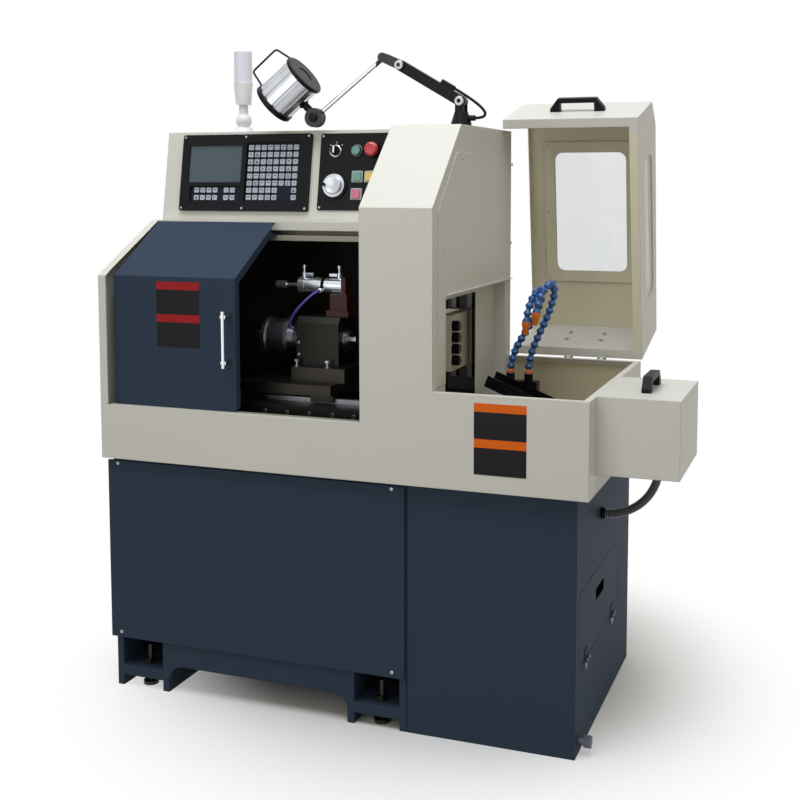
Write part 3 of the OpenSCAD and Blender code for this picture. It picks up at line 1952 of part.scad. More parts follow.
module tool_slide() {
  color(iron)
    difference() {
      union() {
        block(tool_plate_x0, tool_plate_x1, tool_y0, tool_y1, tool_z0, tool_z1);
        block(truck_x0, truck_x1, tool_y1, column_y0 - truck_gap, tool_z0, tool_z1);
      }
      for (z = sleeve_zs)
        rod_x(truck_x0, truck_x1, sleeve_y, z, sleeve_d / 2 + run_clear);
      for (x = post_rail_xs)
        block(x - post_rail_w / 2 - soft_gap, x + post_rail_w / 2 + soft_gap,
          column_y0 - post_rail_h - soft_gap, column_y0, tool_z0 - eps, tool_z1 + eps);
    }
}

module tool_holders() {
  color(black)
    for (z = sleeve_zs)
      difference() {
        union() {
          rod_x(sleeve_x0, sleeve_x1, sleeve_y, z, sleeve_d / 2);
          rod_x(tool_plate_x1, tool_plate_x1 + sleeve_nut, sleeve_y, z, sleeve_nut_r);
        }
        rod_x(sleeve_x0 - eps, sleeve_x0 + sleeve_hole, sleeve_y, z, sleeve_hole_r);
      }
}

// Tub contents

module part_chute() {
  color(black) {
    translate([chute_x0, 0, chute_z])
      rotate([0, chute_deg, 0])
        difference() {
          block(0, chute_len, chute_y0, chute_y1, -chute_lip, 0);
          block(-eps, chute_len + eps, chute_y0 + chute_wall, chute_y1 - chute_wall,
            -chute_lip + chute_wall, eps);
        }
    for (place = chute_leg_places) {
      x = chute_x0 + place * cos(chute_deg);
      z = chute_z - place * sin(chute_deg) - chute_lip / 2;
      for (y = [chute_y0 - chute_leg_t, chute_y1])
        block(x, x + chute_leg_w, y, y + chute_leg_t, floor_z, z);
    }
  }
}

module coolant_manifold() {
  z1 = manifold_z0 + manifold_h;
  color(silver) {
    block(manifold_x0, manifold_x1, manifold_y - manifold_w / 2, manifold_y + manifold_w / 2,
      manifold_z0, z1);
    rod_z(floor_z, manifold_z0 + eps, (hose_xs[0] + hose_xs[1]) / 2, manifold_y, feed_r);
    for (x = hose_xs) {
      rod_z(z1 - eps, z1 + valve_h, x, manifold_y, valve_r);
      rod_y(manifold_y - manifold_w / 2 - lever_stem, manifold_y, x,
        manifold_z0 + manifold_h / 2, lever_w / 2);
      block(x - lever_w / 2, x + lever_len, manifold_y - manifold_w / 2 - lever_stem - lever_t,
        manifold_y - manifold_w / 2 - lever_stem + eps,
        manifold_z0 + manifold_h / 2 - lever_w / 2,
        manifold_z0 + manifold_h / 2 + lever_w / 2);
    }
  }
}

hose_foot_z = manifold_z0 + manifold_h + valve_h;

// The route of coolant hose n: up from its valve, leaning right, then over and down to the front
function hose_up(n) = let (p = [hose_xs[n], manifold_y, hose_foot_z])
  let (q = p + [hose_lean[n], 0, hose_rise[n] - hose_hook])
  [p, p + [0, 0, hose_rise[n] / 3], q - [hose_lean[n] / 3, 0, hose_rise[n] / 3], q];

function hose_over(n) = let (q = hose_up(n)[3])
  let (slope = unit(q - hose_up(n)[2]))
  let (e = q + [hose_side[n], -2 * hose_hook, -hose_drop[n]])
  [q, q + slope * 2 * hose_hook, e + [-hose_side[n] / 2, 0, hook_share * hose_hook], e];

function hose_at(n, t) = t < 0.5 ? bezier(hose_up(n), 2 * t) : bezier(hose_over(n), 2 * t - 1);

function hose_slope(n, t) = t < 0.5
  ? bezier_slope(hose_up(n), 2 * t)
  : bezier_slope(hose_over(n), 2 * t - 1);

module hose(n) {
  count = hose_beads * bead_steps;
  ts = [for (i = [0 : count]) i / count];
  color(blue)
    tube([for (t = ts) hose_at(n, t)], [for (t = ts) hose_slope(n, t)],
      [for (i = [0 : count]) hose_d / 2 * bead_shares[i % bead_steps]],
      hose_sides, hose_twist);
  end = hose_over(n)[3];
  slope = hose_slope(n, 1);
  color(orange)
    tube([end - slope * eps, end + slope * nozzle_len / 3, end + slope * nozzle_len],
      [slope, slope, slope],
      [hose_d / 2 * hose_neck_share, hose_d / 2, hose_d / 2 * nozzle_tip_share],
      hose_sides, hose_twist);
}

module coolant_hoses() {
  for (n = [0, 1])
    hose(n);
}

placed() {
  base_frame();
  front_panel();
  levelling_bolts();
  coolant_cabinet();
  coolant_tank();
  coolant_pump();
  drain_plug();
  access_door();
  access_hinges();
  tray();
  front_guard();
  left_end_wall();
  rear_cover();
  hood_partition();
  hood_side();
  hood_side_panel();
  console_housing();
  cnc_bezel();
  cnc_screen();
  cnc_keys();
  operator_plate();
  selector_knob();
  start_button();
  estop_button();
  handwheel();
  green_button();
  red_button();
  yellow_button();
  door_rails();
  sliding_door();
  door_handle();
  flip_cover();
  cover_windows();
  cover_handle();
  cover_hinges();
  motor_cover();
  motor_cover_handle();
  conduit();
  conduit_glands();
  beacon_base();
  beacon_lens();
  lamp_base();
  lamp_lower_arm();
  lamp_upper_arm();
  lamp_head();
  lamp_trim();
  lamp_cable();
  bed();
  linear_rails();
  headstock_slide();
  headstock();
  spindle();
  clamp_cylinder();
  cylinder_rod();
  air_hose();
  tool_slide();
  tool_holders();
  part_chute();
  coolant_manifold();
  coolant_hoses();
}
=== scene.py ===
"""Dresses a small gang-tool turning lathe: its paint, fasteners, keypad, hoses, lamp and stage."""
import math
import random
from contextlib import contextmanager

import bmesh
import bpy
from bpy.props import FloatProperty, FloatVectorProperty, IntProperty, PointerProperty
from mathutils import Matrix, Vector


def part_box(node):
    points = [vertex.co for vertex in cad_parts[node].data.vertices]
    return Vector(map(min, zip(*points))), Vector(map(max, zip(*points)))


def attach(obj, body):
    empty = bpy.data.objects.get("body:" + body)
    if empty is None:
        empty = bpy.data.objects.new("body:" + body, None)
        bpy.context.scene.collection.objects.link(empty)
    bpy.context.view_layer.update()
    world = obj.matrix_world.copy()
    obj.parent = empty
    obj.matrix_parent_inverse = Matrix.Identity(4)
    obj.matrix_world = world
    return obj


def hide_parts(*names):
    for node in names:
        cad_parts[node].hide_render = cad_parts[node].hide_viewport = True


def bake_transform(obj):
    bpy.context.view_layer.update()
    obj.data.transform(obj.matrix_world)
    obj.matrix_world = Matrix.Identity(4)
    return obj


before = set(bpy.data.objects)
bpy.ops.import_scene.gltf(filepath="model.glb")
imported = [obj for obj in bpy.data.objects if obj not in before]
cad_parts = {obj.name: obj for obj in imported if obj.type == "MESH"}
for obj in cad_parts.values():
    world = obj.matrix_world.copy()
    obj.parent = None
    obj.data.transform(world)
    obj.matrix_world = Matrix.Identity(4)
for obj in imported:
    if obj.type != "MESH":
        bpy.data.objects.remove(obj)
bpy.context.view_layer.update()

bl_info = {
    "name": "Turning lathe dressing",
    "version": (1, 0, 0),
    "blender": (4, 5, 0),
    "location": "View3D > Sidebar > Lathe",
    "description": "Finishes, fasteners, hoses and controls of a small turning lathe",
    "category": "Object",
}

MM = 0.001
SHARP_EDGE = math.radians(32)
WELD = 1e-6
RIGHT, UP, FRONT = Vector((1, 0, 0)), Vector((0, 0, 1)), Vector((0, -1, 0))

# The shop frame: x from the joint of the two bases, y from the base's front, z from the floor
JOINT_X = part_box("coolant_cabinet")[0].x
FRONT_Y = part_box("front_panel")[0].y


def shop(x, y, z):
    """A place given in millimetres of the shop frame, as a point of the scene."""
    return Vector((JOINT_X + x * MM, FRONT_Y + y * MM, z * MM))


def linear(code):
    """A linear colour from an sRGB hex value."""
    shares = [int(code[i:i + 2], 16) / 255 for i in (1, 3, 5)]
    return tuple(s / 12.92 if s <= 0.04045 else ((s + 0.055) / 1.055) ** 2.4 for s in shares)


def paint(name, about, code):
    """A colour that a user would change."""
    return FloatVectorProperty(name=name, description=about, subtype="COLOR", size=3,
                               min=0, max=1, default=linear(code))


def length(name, about, mm):
    """A length that a user would change, given in millimetres."""
    return FloatProperty(name=name, description=about, subtype="DISTANCE", unit="LENGTH",
                         min=0, default=mm * MM)


class LatheColours(bpy.types.PropertyGroup):
    """Colours of the lathe's finishes"""

    cream: paint("Cream", "Powder coat of the guard and the covers", "#D9D8D0")
    navy: paint("Navy", "Powder coat of the bases and the door", "#334051")
    # Painted shade: the dark colour inside the working room stands in for the shade there.
    inside: paint("Inside", "Painted shade inside the working room", "#24221C")
    # Painted shade: the darker, yellower tub colour stands in for the warm shade inside the tub.
    tub: paint("Tub", "Painted warm shade inside the tub", "#C2BA9F")
    # Painted shade: the darker colour in and under the door rail's groove stands in for shade.
    rail: paint("Rail", "Painted shade in and under the door rail's groove", "#999886")
    # Painted shade: the yellower colour inside the flip cover stands in for its warm shade.
    lining: paint("Cover shade tint", "Painted warm shade inside the flip cover", "#E2DCC3")
    black: paint("Black", "Moulded and enamelled black pieces", "#0E0F12")
    film: paint("Keypad film", "Film under the keys", "#121826")
    key: paint("Keys", "Key caps of the control", "#B6BECB")
    mark: paint("Key marks", "Print on the key caps", "#3B4048")
    screen: paint("Screen", "Unlit display", "#55626A")
    green: paint("Green", "Start buttons", "#559683")
    red: paint("Red", "Emergency stop", "#C42A30")
    pink: paint("Pink", "Square stop button", "#C9657F")
    yellow: paint("Yellow", "Square warning button", "#E3C44E")
    hose: paint("Hose", "Segments of the coolant hoses", "#1C5EA4")
    fitting: paint("Fitting", "Nozzles and feet of the hoses", "#F07D1A")
    air: paint("Air hose", "Hose of the clamp cylinder", "#5A50A8")
    bracket: paint("Bracket", "Primer on the clamp cylinder's bracket", "#43201A")
    door_plate: paint("Door plate", "Bands of the plate on the door", "#A31C21")
    tub_plate: paint("Tub plate", "Bands of the plate on the tub", "#EA6A10")


class LatheSizes(bpy.types.PropertyGroup):
    """Sizes of the dressing that the frame doesn't give"""

    panel_screw: length("Panel screw", "Radius of a panel screw's head", 5)
    small_screw: length("Small screw", "Radius of a screw's head on the console", 3.6)
    bolt: length("Bolt", "Radius of a machine bolt's head", 7)
    key_w: length("Key width", "Width of a key cap", 16)
    key_h: length("Key height", "Height of a key cap", 15)
    bead_pitch: length("Hose segment", "Length of one hose segment", 21.5)
    hose_d: length("Hose diameter", "Outside diameter of a hose segment", 25)
    ring_pitch: length("Conduit ring", "Length of one ring of the conduit", 6)
    conduit_d: length("Conduit diameter", "Outside diameter of the conduit", 24)
    bail_d: length("Bail wire", "Diameter of the lamp's bail", 6)
    head_flutes: IntProperty(name="Lamp flutes", description="Flutes round the lamp head",
                             default=12, min=4)


def colours():
    return bpy.context.scene.lathe_colours


def sizes():
    return bpy.context.scene.lathe_sizes


# Places on the console, the open cover and the lamp

CONSOLE_Y, CONSOLE_Z = 320, 1353
CONSOLE_TILT = math.atan2(46, 267)
CONSOLE_UP = Vector((0, math.sin(CONSOLE_TILT), math.cos(CONSOLE_TILT)))
CONSOLE_OUT = Vector((0, -math.cos(CONSOLE_TILT), math.sin(CONSOLE_TILT)))
BEZEL_X, BEZEL_UP, BEZEL_W, BEZEL_H, BEZEL_T = -865, 27, 434, 233, 12
PLATE_X, PLATE_UP, PLATE_W, PLATE_H, PLATE_T = -403, 32, 255, 228, 4


def on_console(x, up, out=0):
    """A place on the console's tilted face, in millimetres along it, up it and out of it."""
    return shop(x, CONSOLE_Y, CONSOLE_Z) + (CONSOLE_UP * up + CONSOLE_OUT * out) * MM


def on_bezel(x, up, out):
    """A place on the control's bezel, out of the console's face."""
    return on_console(BEZEL_X + x, BEZEL_UP + up, out)


def on_plate(x, up, out=0):
    """A place on the operator plate, out of its own face."""
    return on_console(PLATE_X + x, PLATE_UP + up, PLATE_T + out)


COVER_HINGE = (717, 927)
COVER_OPEN = math.radians(79.4)
COVER_TOP_REAR, COVER_TOP_FRONT = Vector((-16, 278)), Vector((-676, 312))
COVER_BACK_LOW = Vector((-4, 6))
TOP_WAY = (COVER_TOP_FRONT - COVER_TOP_REAR).normalized()
TOP_OUT = Vector((TOP_WAY.y, -TOP_WAY.x))


def on_cover(x, place):
    """A place (y, z) on the cover, given closed and from its hinge, with the cover turned open."""
    c, s = math.cos(COVER_OPEN), math.sin(COVER_OPEN)
    y, z = place
    return shop(x, COVER_HINGE[0] + y * c + z * s, COVER_HINGE[1] + z * c - y * s)


def cover_way(way):
    """A direction on the closed cover, with the cover turned open."""
    return (on_cover(0, way) - on_cover(0, (0, 0))).normalized()


def on_top(x, along, deep=0):
    """A place on the cover's top: along it from the rear, and deep under its outer face."""
    return on_cover(x, COVER_TOP_REAR + TOP_WAY * along - TOP_OUT * deep)


def heading(deg):
    """A direction in the lamp's plane."""
    return Vector((math.cos(math.radians(deg)), math.sin(math.radians(deg))))


LAMP_Y = 330
SHOULDER = Vector((41, 1692))
ARM_LEN, ARM_DEG = 208, 149.8
YOKE_LEN, YOKE_DEG = 58, 155.6
ROD_REACH, ROD_DEG = 273, 217.4
HEAD_FROM, HEAD_DEG = Vector((-85, 84)), 39
HEAD_D, HEAD_LEN = 124, 138
YOKE_REACH, DISC_REACH = 76, 33
ELBOW = SHOULDER + ARM_LEN * heading(ARM_DEG)
KNUCKLE = ELBOW + YOKE_LEN * heading(YOKE_DEG) + ROD_REACH * heading(ROD_DEG)
HEAD_MID = KNUCKLE + HEAD_FROM
HEAD_AXIS = heading(HEAD_DEG)
HEAD_WAY = Vector((HEAD_AXIS.x, 0, HEAD_AXIS.y))


def at_lamp(place, y=0):
    """A place in the lamp's plane, y millimetres behind it."""
    return shop(place.x, LAMP_Y + y, place.y)


def on_head(along, out=0):
    """A place on the lamp head: along its axis from its middle, out towards its bail."""
    return at_lamp(HEAD_MID + HEAD_AXIS * along + Vector((-HEAD_AXIS.y, HEAD_AXIS.x)) * out)


# Materials

FINISHES = {}
EVEN = (1, 1, 1)
FOLD_R = 3.5
COAT_SHEEN, DARK_SHEEN, NAVY_SHEEN = 0.35, 0.14, 0.09
PEEL_MM, PEEL_DEPTH, DRIFT_MM, DRIFT = 3.0, 0.05, 260, 0.025
SOFT_EDGE = 0.5 * MM
FAR = 2


def add(tree, kind, inputs=(), **settings):
    """Adds a node with its own settings; each input takes a value or another node's socket."""
    node = tree.nodes.new(kind)
    for name, value in settings.items():
        setattr(node, name, value)
    for name, value in dict(inputs).items():
        if isinstance(value, bpy.types.NodeSocket):
            tree.links.new(value, node.inputs[name])
        else:
            node.inputs[name].default_value = value
    return node


def feed(shader, name, source):
    """Links a socket to one of a shader's inputs."""
    shader.id_data.links.new(source, shader.inputs[name])


def reckon(tree, operation, *values):
    """The result of a Math node."""
    return add(tree, "ShaderNodeMath", dict(enumerate(values)), operation=operation).outputs[0]


def reckon_vector(tree, operation, *values):
    """The result of a Vector Math node."""
    node = add(tree, "ShaderNodeVectorMath", dict(enumerate(values)), operation=operation)
    return node.outputs["Value" if operation in ("DISTANCE", "LENGTH") else "Vector"]


def span(tree, share, low, high, start=0.0, end=1.0, **settings):
    """A number that runs from low to high while share runs from start to end."""
    return add(tree, "ShaderNodeMapRange", {
        "Value": share, "From Min": start, "From Max": end, "To Min": low, "To Max": high,
    }, **settings).outputs["Result"]


def object_place(tree):
    """The place of the shaded point on its object."""
    return add(tree, "ShaderNodeTexCoord").outputs["Object"]


def noise(tree, place, mm, detail):
    """A noise whose features are mm apart on Object coordinates."""
    return add(tree, "ShaderNodeTexNoise", {
        "Vector": place, "Scale": 1 / (mm * MM), "Detail": detail}).outputs["Fac"]


def blend_colour(tree, share, outer, inner):
    """Mixes two colours, given as values or sockets, by a share."""
    a, b = ((*colour, 1) if isinstance(colour, tuple) else colour for colour in (outer, inner))
    return add(tree, "ShaderNodeMix", {"Factor": share, "A": a, "B": b},
               data_type="RGBA").outputs["Result"]


def finish(name, **values):
    """Keeps a new material in FINISHES and returns its shader: values go to its own sockets."""
    material = FINISHES[name] = bpy.data.materials.new(name)
    material.use_nodes = True
    shader = material.node_tree.nodes["Principled BSDF"]
    for key, value in values.items():
        title = key.replace("_", " ").title().replace("Ior", "IOR")
        shader.inputs[title].default_value = value
    return shader


def grain(shader, mm, depth_mm, stretch=EVEN, fold=0):
    """Fine relief with features mm apart and depth_mm deep, on edges rounded to fold."""
    tree = shader.id_data
    place = add(tree, "ShaderNodeMapping", {"Vector": object_place(tree), "Scale": stretch})
    bump = add(tree, "ShaderNodeBump", {
        "Height": noise(tree, place.outputs["Vector"], mm, 2.0),
        "Strength": 1.0, "Distance": depth_mm * MM})
    if fold:
        edge = add(tree, "ShaderNodeBevel", {"Radius": fold * MM}, samples=4)
        feed(bump, "Normal", edge.outputs["Normal"])
    feed(shader, "Normal", bump.outputs["Normal"])


def mottle(shader, colour, mm, spread, rough=None):
    """Slow drift of the colour, and of the roughness where rough gives its range."""
    tree = shader.id_data
    share = noise(tree, object_place(tree), mm, 4.0)
    dark, light = (tuple(min(1, c * k) for c in colour) for k in (1 - spread, 1 + spread))
    tone = blend_colour(tree, share, dark, light)
    feed(shader, "Base Color", tone)
    if rough:
        feed(shader, "Roughness", span(tree, share, *rough))
    return tone


def inside_box(tree, low, high, lean=0):
    """A share that is 1 between two corners and 0 outside, after a turn by lean about X."""
    place = add(tree, "ShaderNodeMapping",
                {"Vector": object_place(tree), "Rotation": (lean, 0, 0)}).outputs["Vector"]
    away = reckon_vector(tree, "SUBTRACT", place, (low + high) / 2)
    past = reckon_vector(tree, "SUBTRACT", reckon_vector(tree, "ABSOLUTE", away), (high - low) / 2)
    x, y, z = add(tree, "ShaderNodeSeparateXYZ", {"Vector": past}).outputs
    most = reckon(tree, "MAXIMUM", reckon(tree, "MAXIMUM", x, y), z)
    return span(tree, most, 1.0, 0.0, -SOFT_EDGE, SOFT_EDGE)


def near_point(tree, middle, reach_mm):
    """A share that is 1 within reach of a point and 0 beyond it."""
    away = reckon_vector(tree, "DISTANCE", object_place(tree), middle)
    return span(tree, away, 1.0, 0.0, reach_mm * MM - SOFT_EDGE, reach_mm * MM + SOFT_EDGE)


def powder_coat(name, colour, rough, sheen=COAT_SHEEN):
    """Polyester powder coat on folded sheet: satin, with the slight orange peel of a baked film.

    The peel is 3 mm apart, twice as coarse as the real one, so that it shows at a step's distance.
    """
    shader = finish(name, roughness=rough, ior=1.5, specular_ior_level=sheen)
    mottle(shader, colour, DRIFT_MM, DRIFT, (rough - 0.05, rough + 0.05))
    grain(shader, PEEL_MM, PEEL_DEPTH, fold=FOLD_R)


def shaded_coat(name, colour, rough, linings):
    """The same coat, with painted shade: the boxes it is given, each by its two corners and its
    lean, hold the colours of the painted shade inside them.
    """
    shader = finish(name, roughness=rough, ior=1.5, specular_ior_level=COAT_SHEEN)
    tree = shader.id_data
    tone = mottle(shader, colour, DRIFT_MM, DRIFT)
    for low, high, lean, inner in linings:
        tone = blend_colour(tree, inside_box(tree, low, high, lean), tone, inner)
    feed(shader, "Base Color", tone)
    grain(shader, PEEL_MM, PEEL_DEPTH, fold=FOLD_R)


# Edges and depth of the boxes that hold the painted shade.
HALF_SHEET, SHADE_EDGE, SHADE_DEEP = 1 * MM, 2 * MM, 330 * MM
TUB_LIP_Z, RAIL_PLAIN = 915 * MM, 27 * MM


def room_box():
    """The working room, between the middles of its sheets: the box of its painted shade."""
    return shop(-902.5, 0, 682), shop(46, 699, 1352), 0


def tub_box():
    """The tub, between the middles of its sheets and below its lip: the box of its painted shade.
    """
    (_, _, floor_z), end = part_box("tray")
    low = Vector((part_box("hood_side")[1].x + HALF_SHEET,
                  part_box("front_guard")[0].y + HALF_SHEET, floor_z))
    return low, Vector((end.x - HALF_SHEET, end.y - HALF_SHEET, TUB_LIP_Z)), 0


def rail_box():
    """The door rails from the top of the upper rail's groove downwards: the box of the painted
    shade in and under the groove.
    """
    low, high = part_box("door_rails")
    margin = Vector(EVEN) * HALF_SHEET
    return low - margin, high + margin - UP * RAIL_PLAIN, 0


def cover_box():
    """The open cover's hollow, to the middle of its sheets, in a frame level with its top: the box
    of its painted warm shade.
    """
    lean = COVER_OPEN + math.atan2(TOP_WAY.y, -TOP_WAY.x)
    turn = Matrix.Rotation(lean, 3, "X")
    rear, front = (turn @ on_cover(0, place) for place in (COVER_TOP_REAR, COVER_TOP_FRONT))
    start, end = (corner.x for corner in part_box("flip_cover"))
    low = Vector((start + HALF_SHEET, front.y + SHADE_EDGE, rear.z - SHADE_DEEP))
    return low, Vector((end - HALF_SHEET, rear.y - SHADE_EDGE, rear.z - HALF_SHEET)), lean


def moulded(name, colour, rough, mm=1.2, depth=0.04, sheen=COAT_SHEEN):
    """Moulded plastic: an even colour with the fine spark-eroded grain of its tool."""
    shader = finish(name, roughness=rough, ior=1.5, specular_ior_level=sheen)
    mottle(shader, colour, 60, 0.05, (rough - 0.06, rough + 0.06))
    grain(shader, mm, depth)


def gloss_cap(name, colour):
    """Polished acrylic or polycarbonate button caps: deep colour under a smooth skin."""
    shader = finish(name, roughness=0.22, ior=1.5, coat_weight=0.4)
    mottle(shader, colour, 14, 0.06)
    grain(shader, 2.5, 0.006, fold=1.5)


def worked_metal(name, colour, rough, mm, depth, stretch=EVEN, spread=0.08):
    """Bare metal: the tool's fine marks, stretched along the cut, and an uneven sheen."""
    shader = finish(name, metallic=1.0, roughness=rough)
    mottle(shader, colour, 45, spread, (max(0.05, rough - 0.08), rough + 0.1))
    grain(shader, mm, depth, stretch)


def clear_sheet(name, bend=1.0, alpha=0.36):
    """Clear sheet: nearly colourless, with a soft gloss; a flat lens has no bend."""
    shader = finish(name, roughness=0.04, ior=1.58, transmission_weight=bend, alpha=alpha)
    mottle(shader, linear("#9FA6A6"), 120, 0.03)


def dark_glass(name, colour):
    """Anti-glare display glass over an unlit panel."""
    shader = finish(name, roughness=0.18, ior=1.52, specular_ior_level=DARK_SHEEN)
    mottle(shader, colour, 90, 0.12)


def frosted(name):
    """Frosted acrylic lens: white, soft and slightly see-through, with flutes 4 mm apart."""
    shader = finish(name, roughness=0.4, ior=1.49, subsurface_weight=0.35,
                    subsurface_radius=(0.012, 0.012, 0.013))
    mottle(shader, linear("#EAE9F5"), 22, 0.04)
    grain(shader, 4.0, 0.15, (1, 1, 0.05))


CYLINDER_FOOT_Z, BRACKET_X, GAP_SHADE_X = 1143, -307, (-373, -363)


def bracketed(name):
    """Anodised cylinder with a black band painted as the shade where its two halves meet, above
    its primed steel bracket.
    """
    shader = finish(name, roughness=0.2, specular_ior_level=DARK_SHEEN)
    tree = shader.id_data
    tone = mottle(shader, linear("#CDD0D7"), 40, 0.12)
    post, gap_start, gap_end = (shop(x, 0, 0).x for x in (BRACKET_X, *GAP_SHADE_X))
    below, beside, gap_shade = (
        inside_box(tree, Vector((start, -FAR, 0)), Vector((end, FAR, top)))
        for start, end, top in (
            (-FAR, FAR, CYLINDER_FOOT_Z * MM), (post, FAR, FAR), (gap_start, gap_end, FAR))
    )
    primed = reckon(tree, "MAXIMUM", below, beside)
    # Painted shade: a black band where the cylinder's two halves meet.
    tone = blend_colour(tree, gap_shade, tone, tuple(colours().black))
    feed(shader, "Base Color", blend_colour(tree, primed, tone, tuple(colours().bracket)))
    feed(shader, "Metallic", span(tree, primed, 0.85, 0.0))
    grain(shader, 1.5, 0.03)


def tool_plate(name):
    """Ground tool plate under a film of oil: its grey-brown painted much lighter, as painted light
    for its weakly lit recess, with long upright grinding streaks.
    """
    shader = finish(name, metallic=0.35, roughness=0.5)
    # Painted light: this pale colour lifts the plate in its weakly lit recess.
    mottle(shader, linear("#C9C1B1"), 70, 0.22, (0.36, 0.55))
    grain(shader, 1.4, 0.04, (1, 1, 0.04))


def guide_rails(name):
    """Bright ground rails of the bed; those behind the tool plate are dark grey and not metallic,
    as painted shade of the recess.
    """
    shader = finish(name, roughness=0.3)
    tree = shader.id_data
    tone = mottle(shader, linear("#A4A7AC"), 45, 0.08, (0.22, 0.38))
    # Painted shade: rails in the recess behind the tool plate are dark grey and not metallic.
    recess_shade = inside_box(tree, shop(-100, 0, 0), shop(500, 700, 1600))
    feed(shader, "Base Color", blend_colour(tree, recess_shade, tone, linear("#4A4741")))
    feed(shader, "Metallic", span(tree, recess_shade, 1.0, 0.1))
    grain(shader, 0.8, 0.01, (0.05, 1, 1))


def plated_rod(name, colour):
    """Chromed rod with two enamelled ends, the elbow's yoke and the head's friction disc."""
    shader = finish(name, roughness=0.14)
    tree = shader.id_data
    tone = mottle(shader, linear("#D6D8DB"), 45, 0.03)
    share = reckon(tree, "MAXIMUM", *(
        near_point(tree, at_lamp(place), reach)
        for place, reach in ((ELBOW, YOKE_REACH), (KNUCKLE, DISC_REACH))))
    feed(shader, "Base Color", blend_colour(tree, share, tone, colour))
    feed(shader, "Metallic", reckon(tree, "SUBTRACT", 1.0, share))
    feed(shader, "Roughness", span(tree, share, 0.14, 0.4))
    grain(shader, 3.0, 0.01)


NODE_FINISHES = {
    "Navy powder coat": ["base_frame", "front_panel", "coolant_cabinet", "access_door",
                         "sliding_door"],
    "Cream powder coat": ["console_housing", "rear_cover", "hood_side_panel", "motor_cover"],
    # Two cream coats carry painted shade inside given boxes.
    "Lined cream coat": ["flip_cover", "door_rails"],
    "Oiled cream coat": ["tray", "front_guard", "left_end_wall", "hood_partition", "hood_side"],
    "Black ABS moulding": ["cnc_bezel", "cover_handle", "motor_cover_handle", "conduit_glands",
                           "selector_knob", "lamp_cable"],
    "Grey polyamide conduit": ["conduit"],
    "Black stove enamel": ["operator_plate", "lamp_base", "lamp_lower_arm", "lamp_trim",
                           "part_chute", "tool_holders", "cover_hinges", "coolant_manifold"],
    "Zinc-plated steel": ["coolant_tank"],
    "Dulled zinc plate": ["drain_plug", "access_hinges"],
    "Ground steel": ["spindle"],
    # Rails behind the tool plate carry painted shade.
    "Ground rails, oiled behind the tools": ["linear_rails"],
    "Ground tool plate": ["tool_slide"],
    # Painted shade: the levelling bolts take this dark steel for the shade inside the feet.
    "Oiled steel": ["headstock_slide", "levelling_bolts"],
    "Chrome plate": ["door_handle"],
    "Chromed rod with enamelled ends": ["lamp_upper_arm"],
    "Machined cast iron": ["bed", "headstock", "coolant_pump"],
    "Turned aluminium": ["handwheel"],
    "Brushed aluminium": ["lamp_head"],
    "Anodised cylinder and primed bracket": ["clamp_cylinder", "cylinder_rod"],
    "Clear polycarbonate": ["cover_windows"],
    "Display glass": ["cnc_screen"],
    "Silicone key caps": ["cnc_keys"],
    "Frosted acrylic": ["beacon_lens"],
    "White ABS moulding": ["beacon_base"],
    "Green acrylic cap": ["start_button", "green_button"],
    "Red acrylic cap": ["estop_button"],
    "Pink acrylic cap": ["red_button"],
    "Yellow acrylic cap": ["yellow_button"],
    "Acetal hose segments": ["coolant_hoses"],
    "Polyurethane hose": ["air_hose"],
}
METALS = (
    ("Zinc-plated steel", "#A9ABAD", 0.35, 2.0, 0.02),
    ("Dulled zinc plate", "#5B5E66", 0.42, 2.0, 0.03, EVEN, 0.2),
    ("Ground steel", "#9C9EA2", 0.28, 0.8, 0.01, (0.05, 1, 1)),
    ("Oiled steel", "#3B3833", 0.4, 1.2, 0.03, (0.1, 1, 1), 0.2),
    ("Chrome plate", "#D6D8DB", 0.12, 4.0, 0.004, EVEN, 0.03),
    ("Machined cast iron", "#302E2B", 0.45, 1.6, 0.05, (1, 1, 0.2), 0.16),
    ("Turned aluminium", "#BFC2C7", 0.32, 0.9, 0.015, (1, 1, 0.2)),
    ("Brushed aluminium", "#CBCDD2", 0.3, 0.7, 0.03, (0.15, 1, 0.15), 0.14),
)


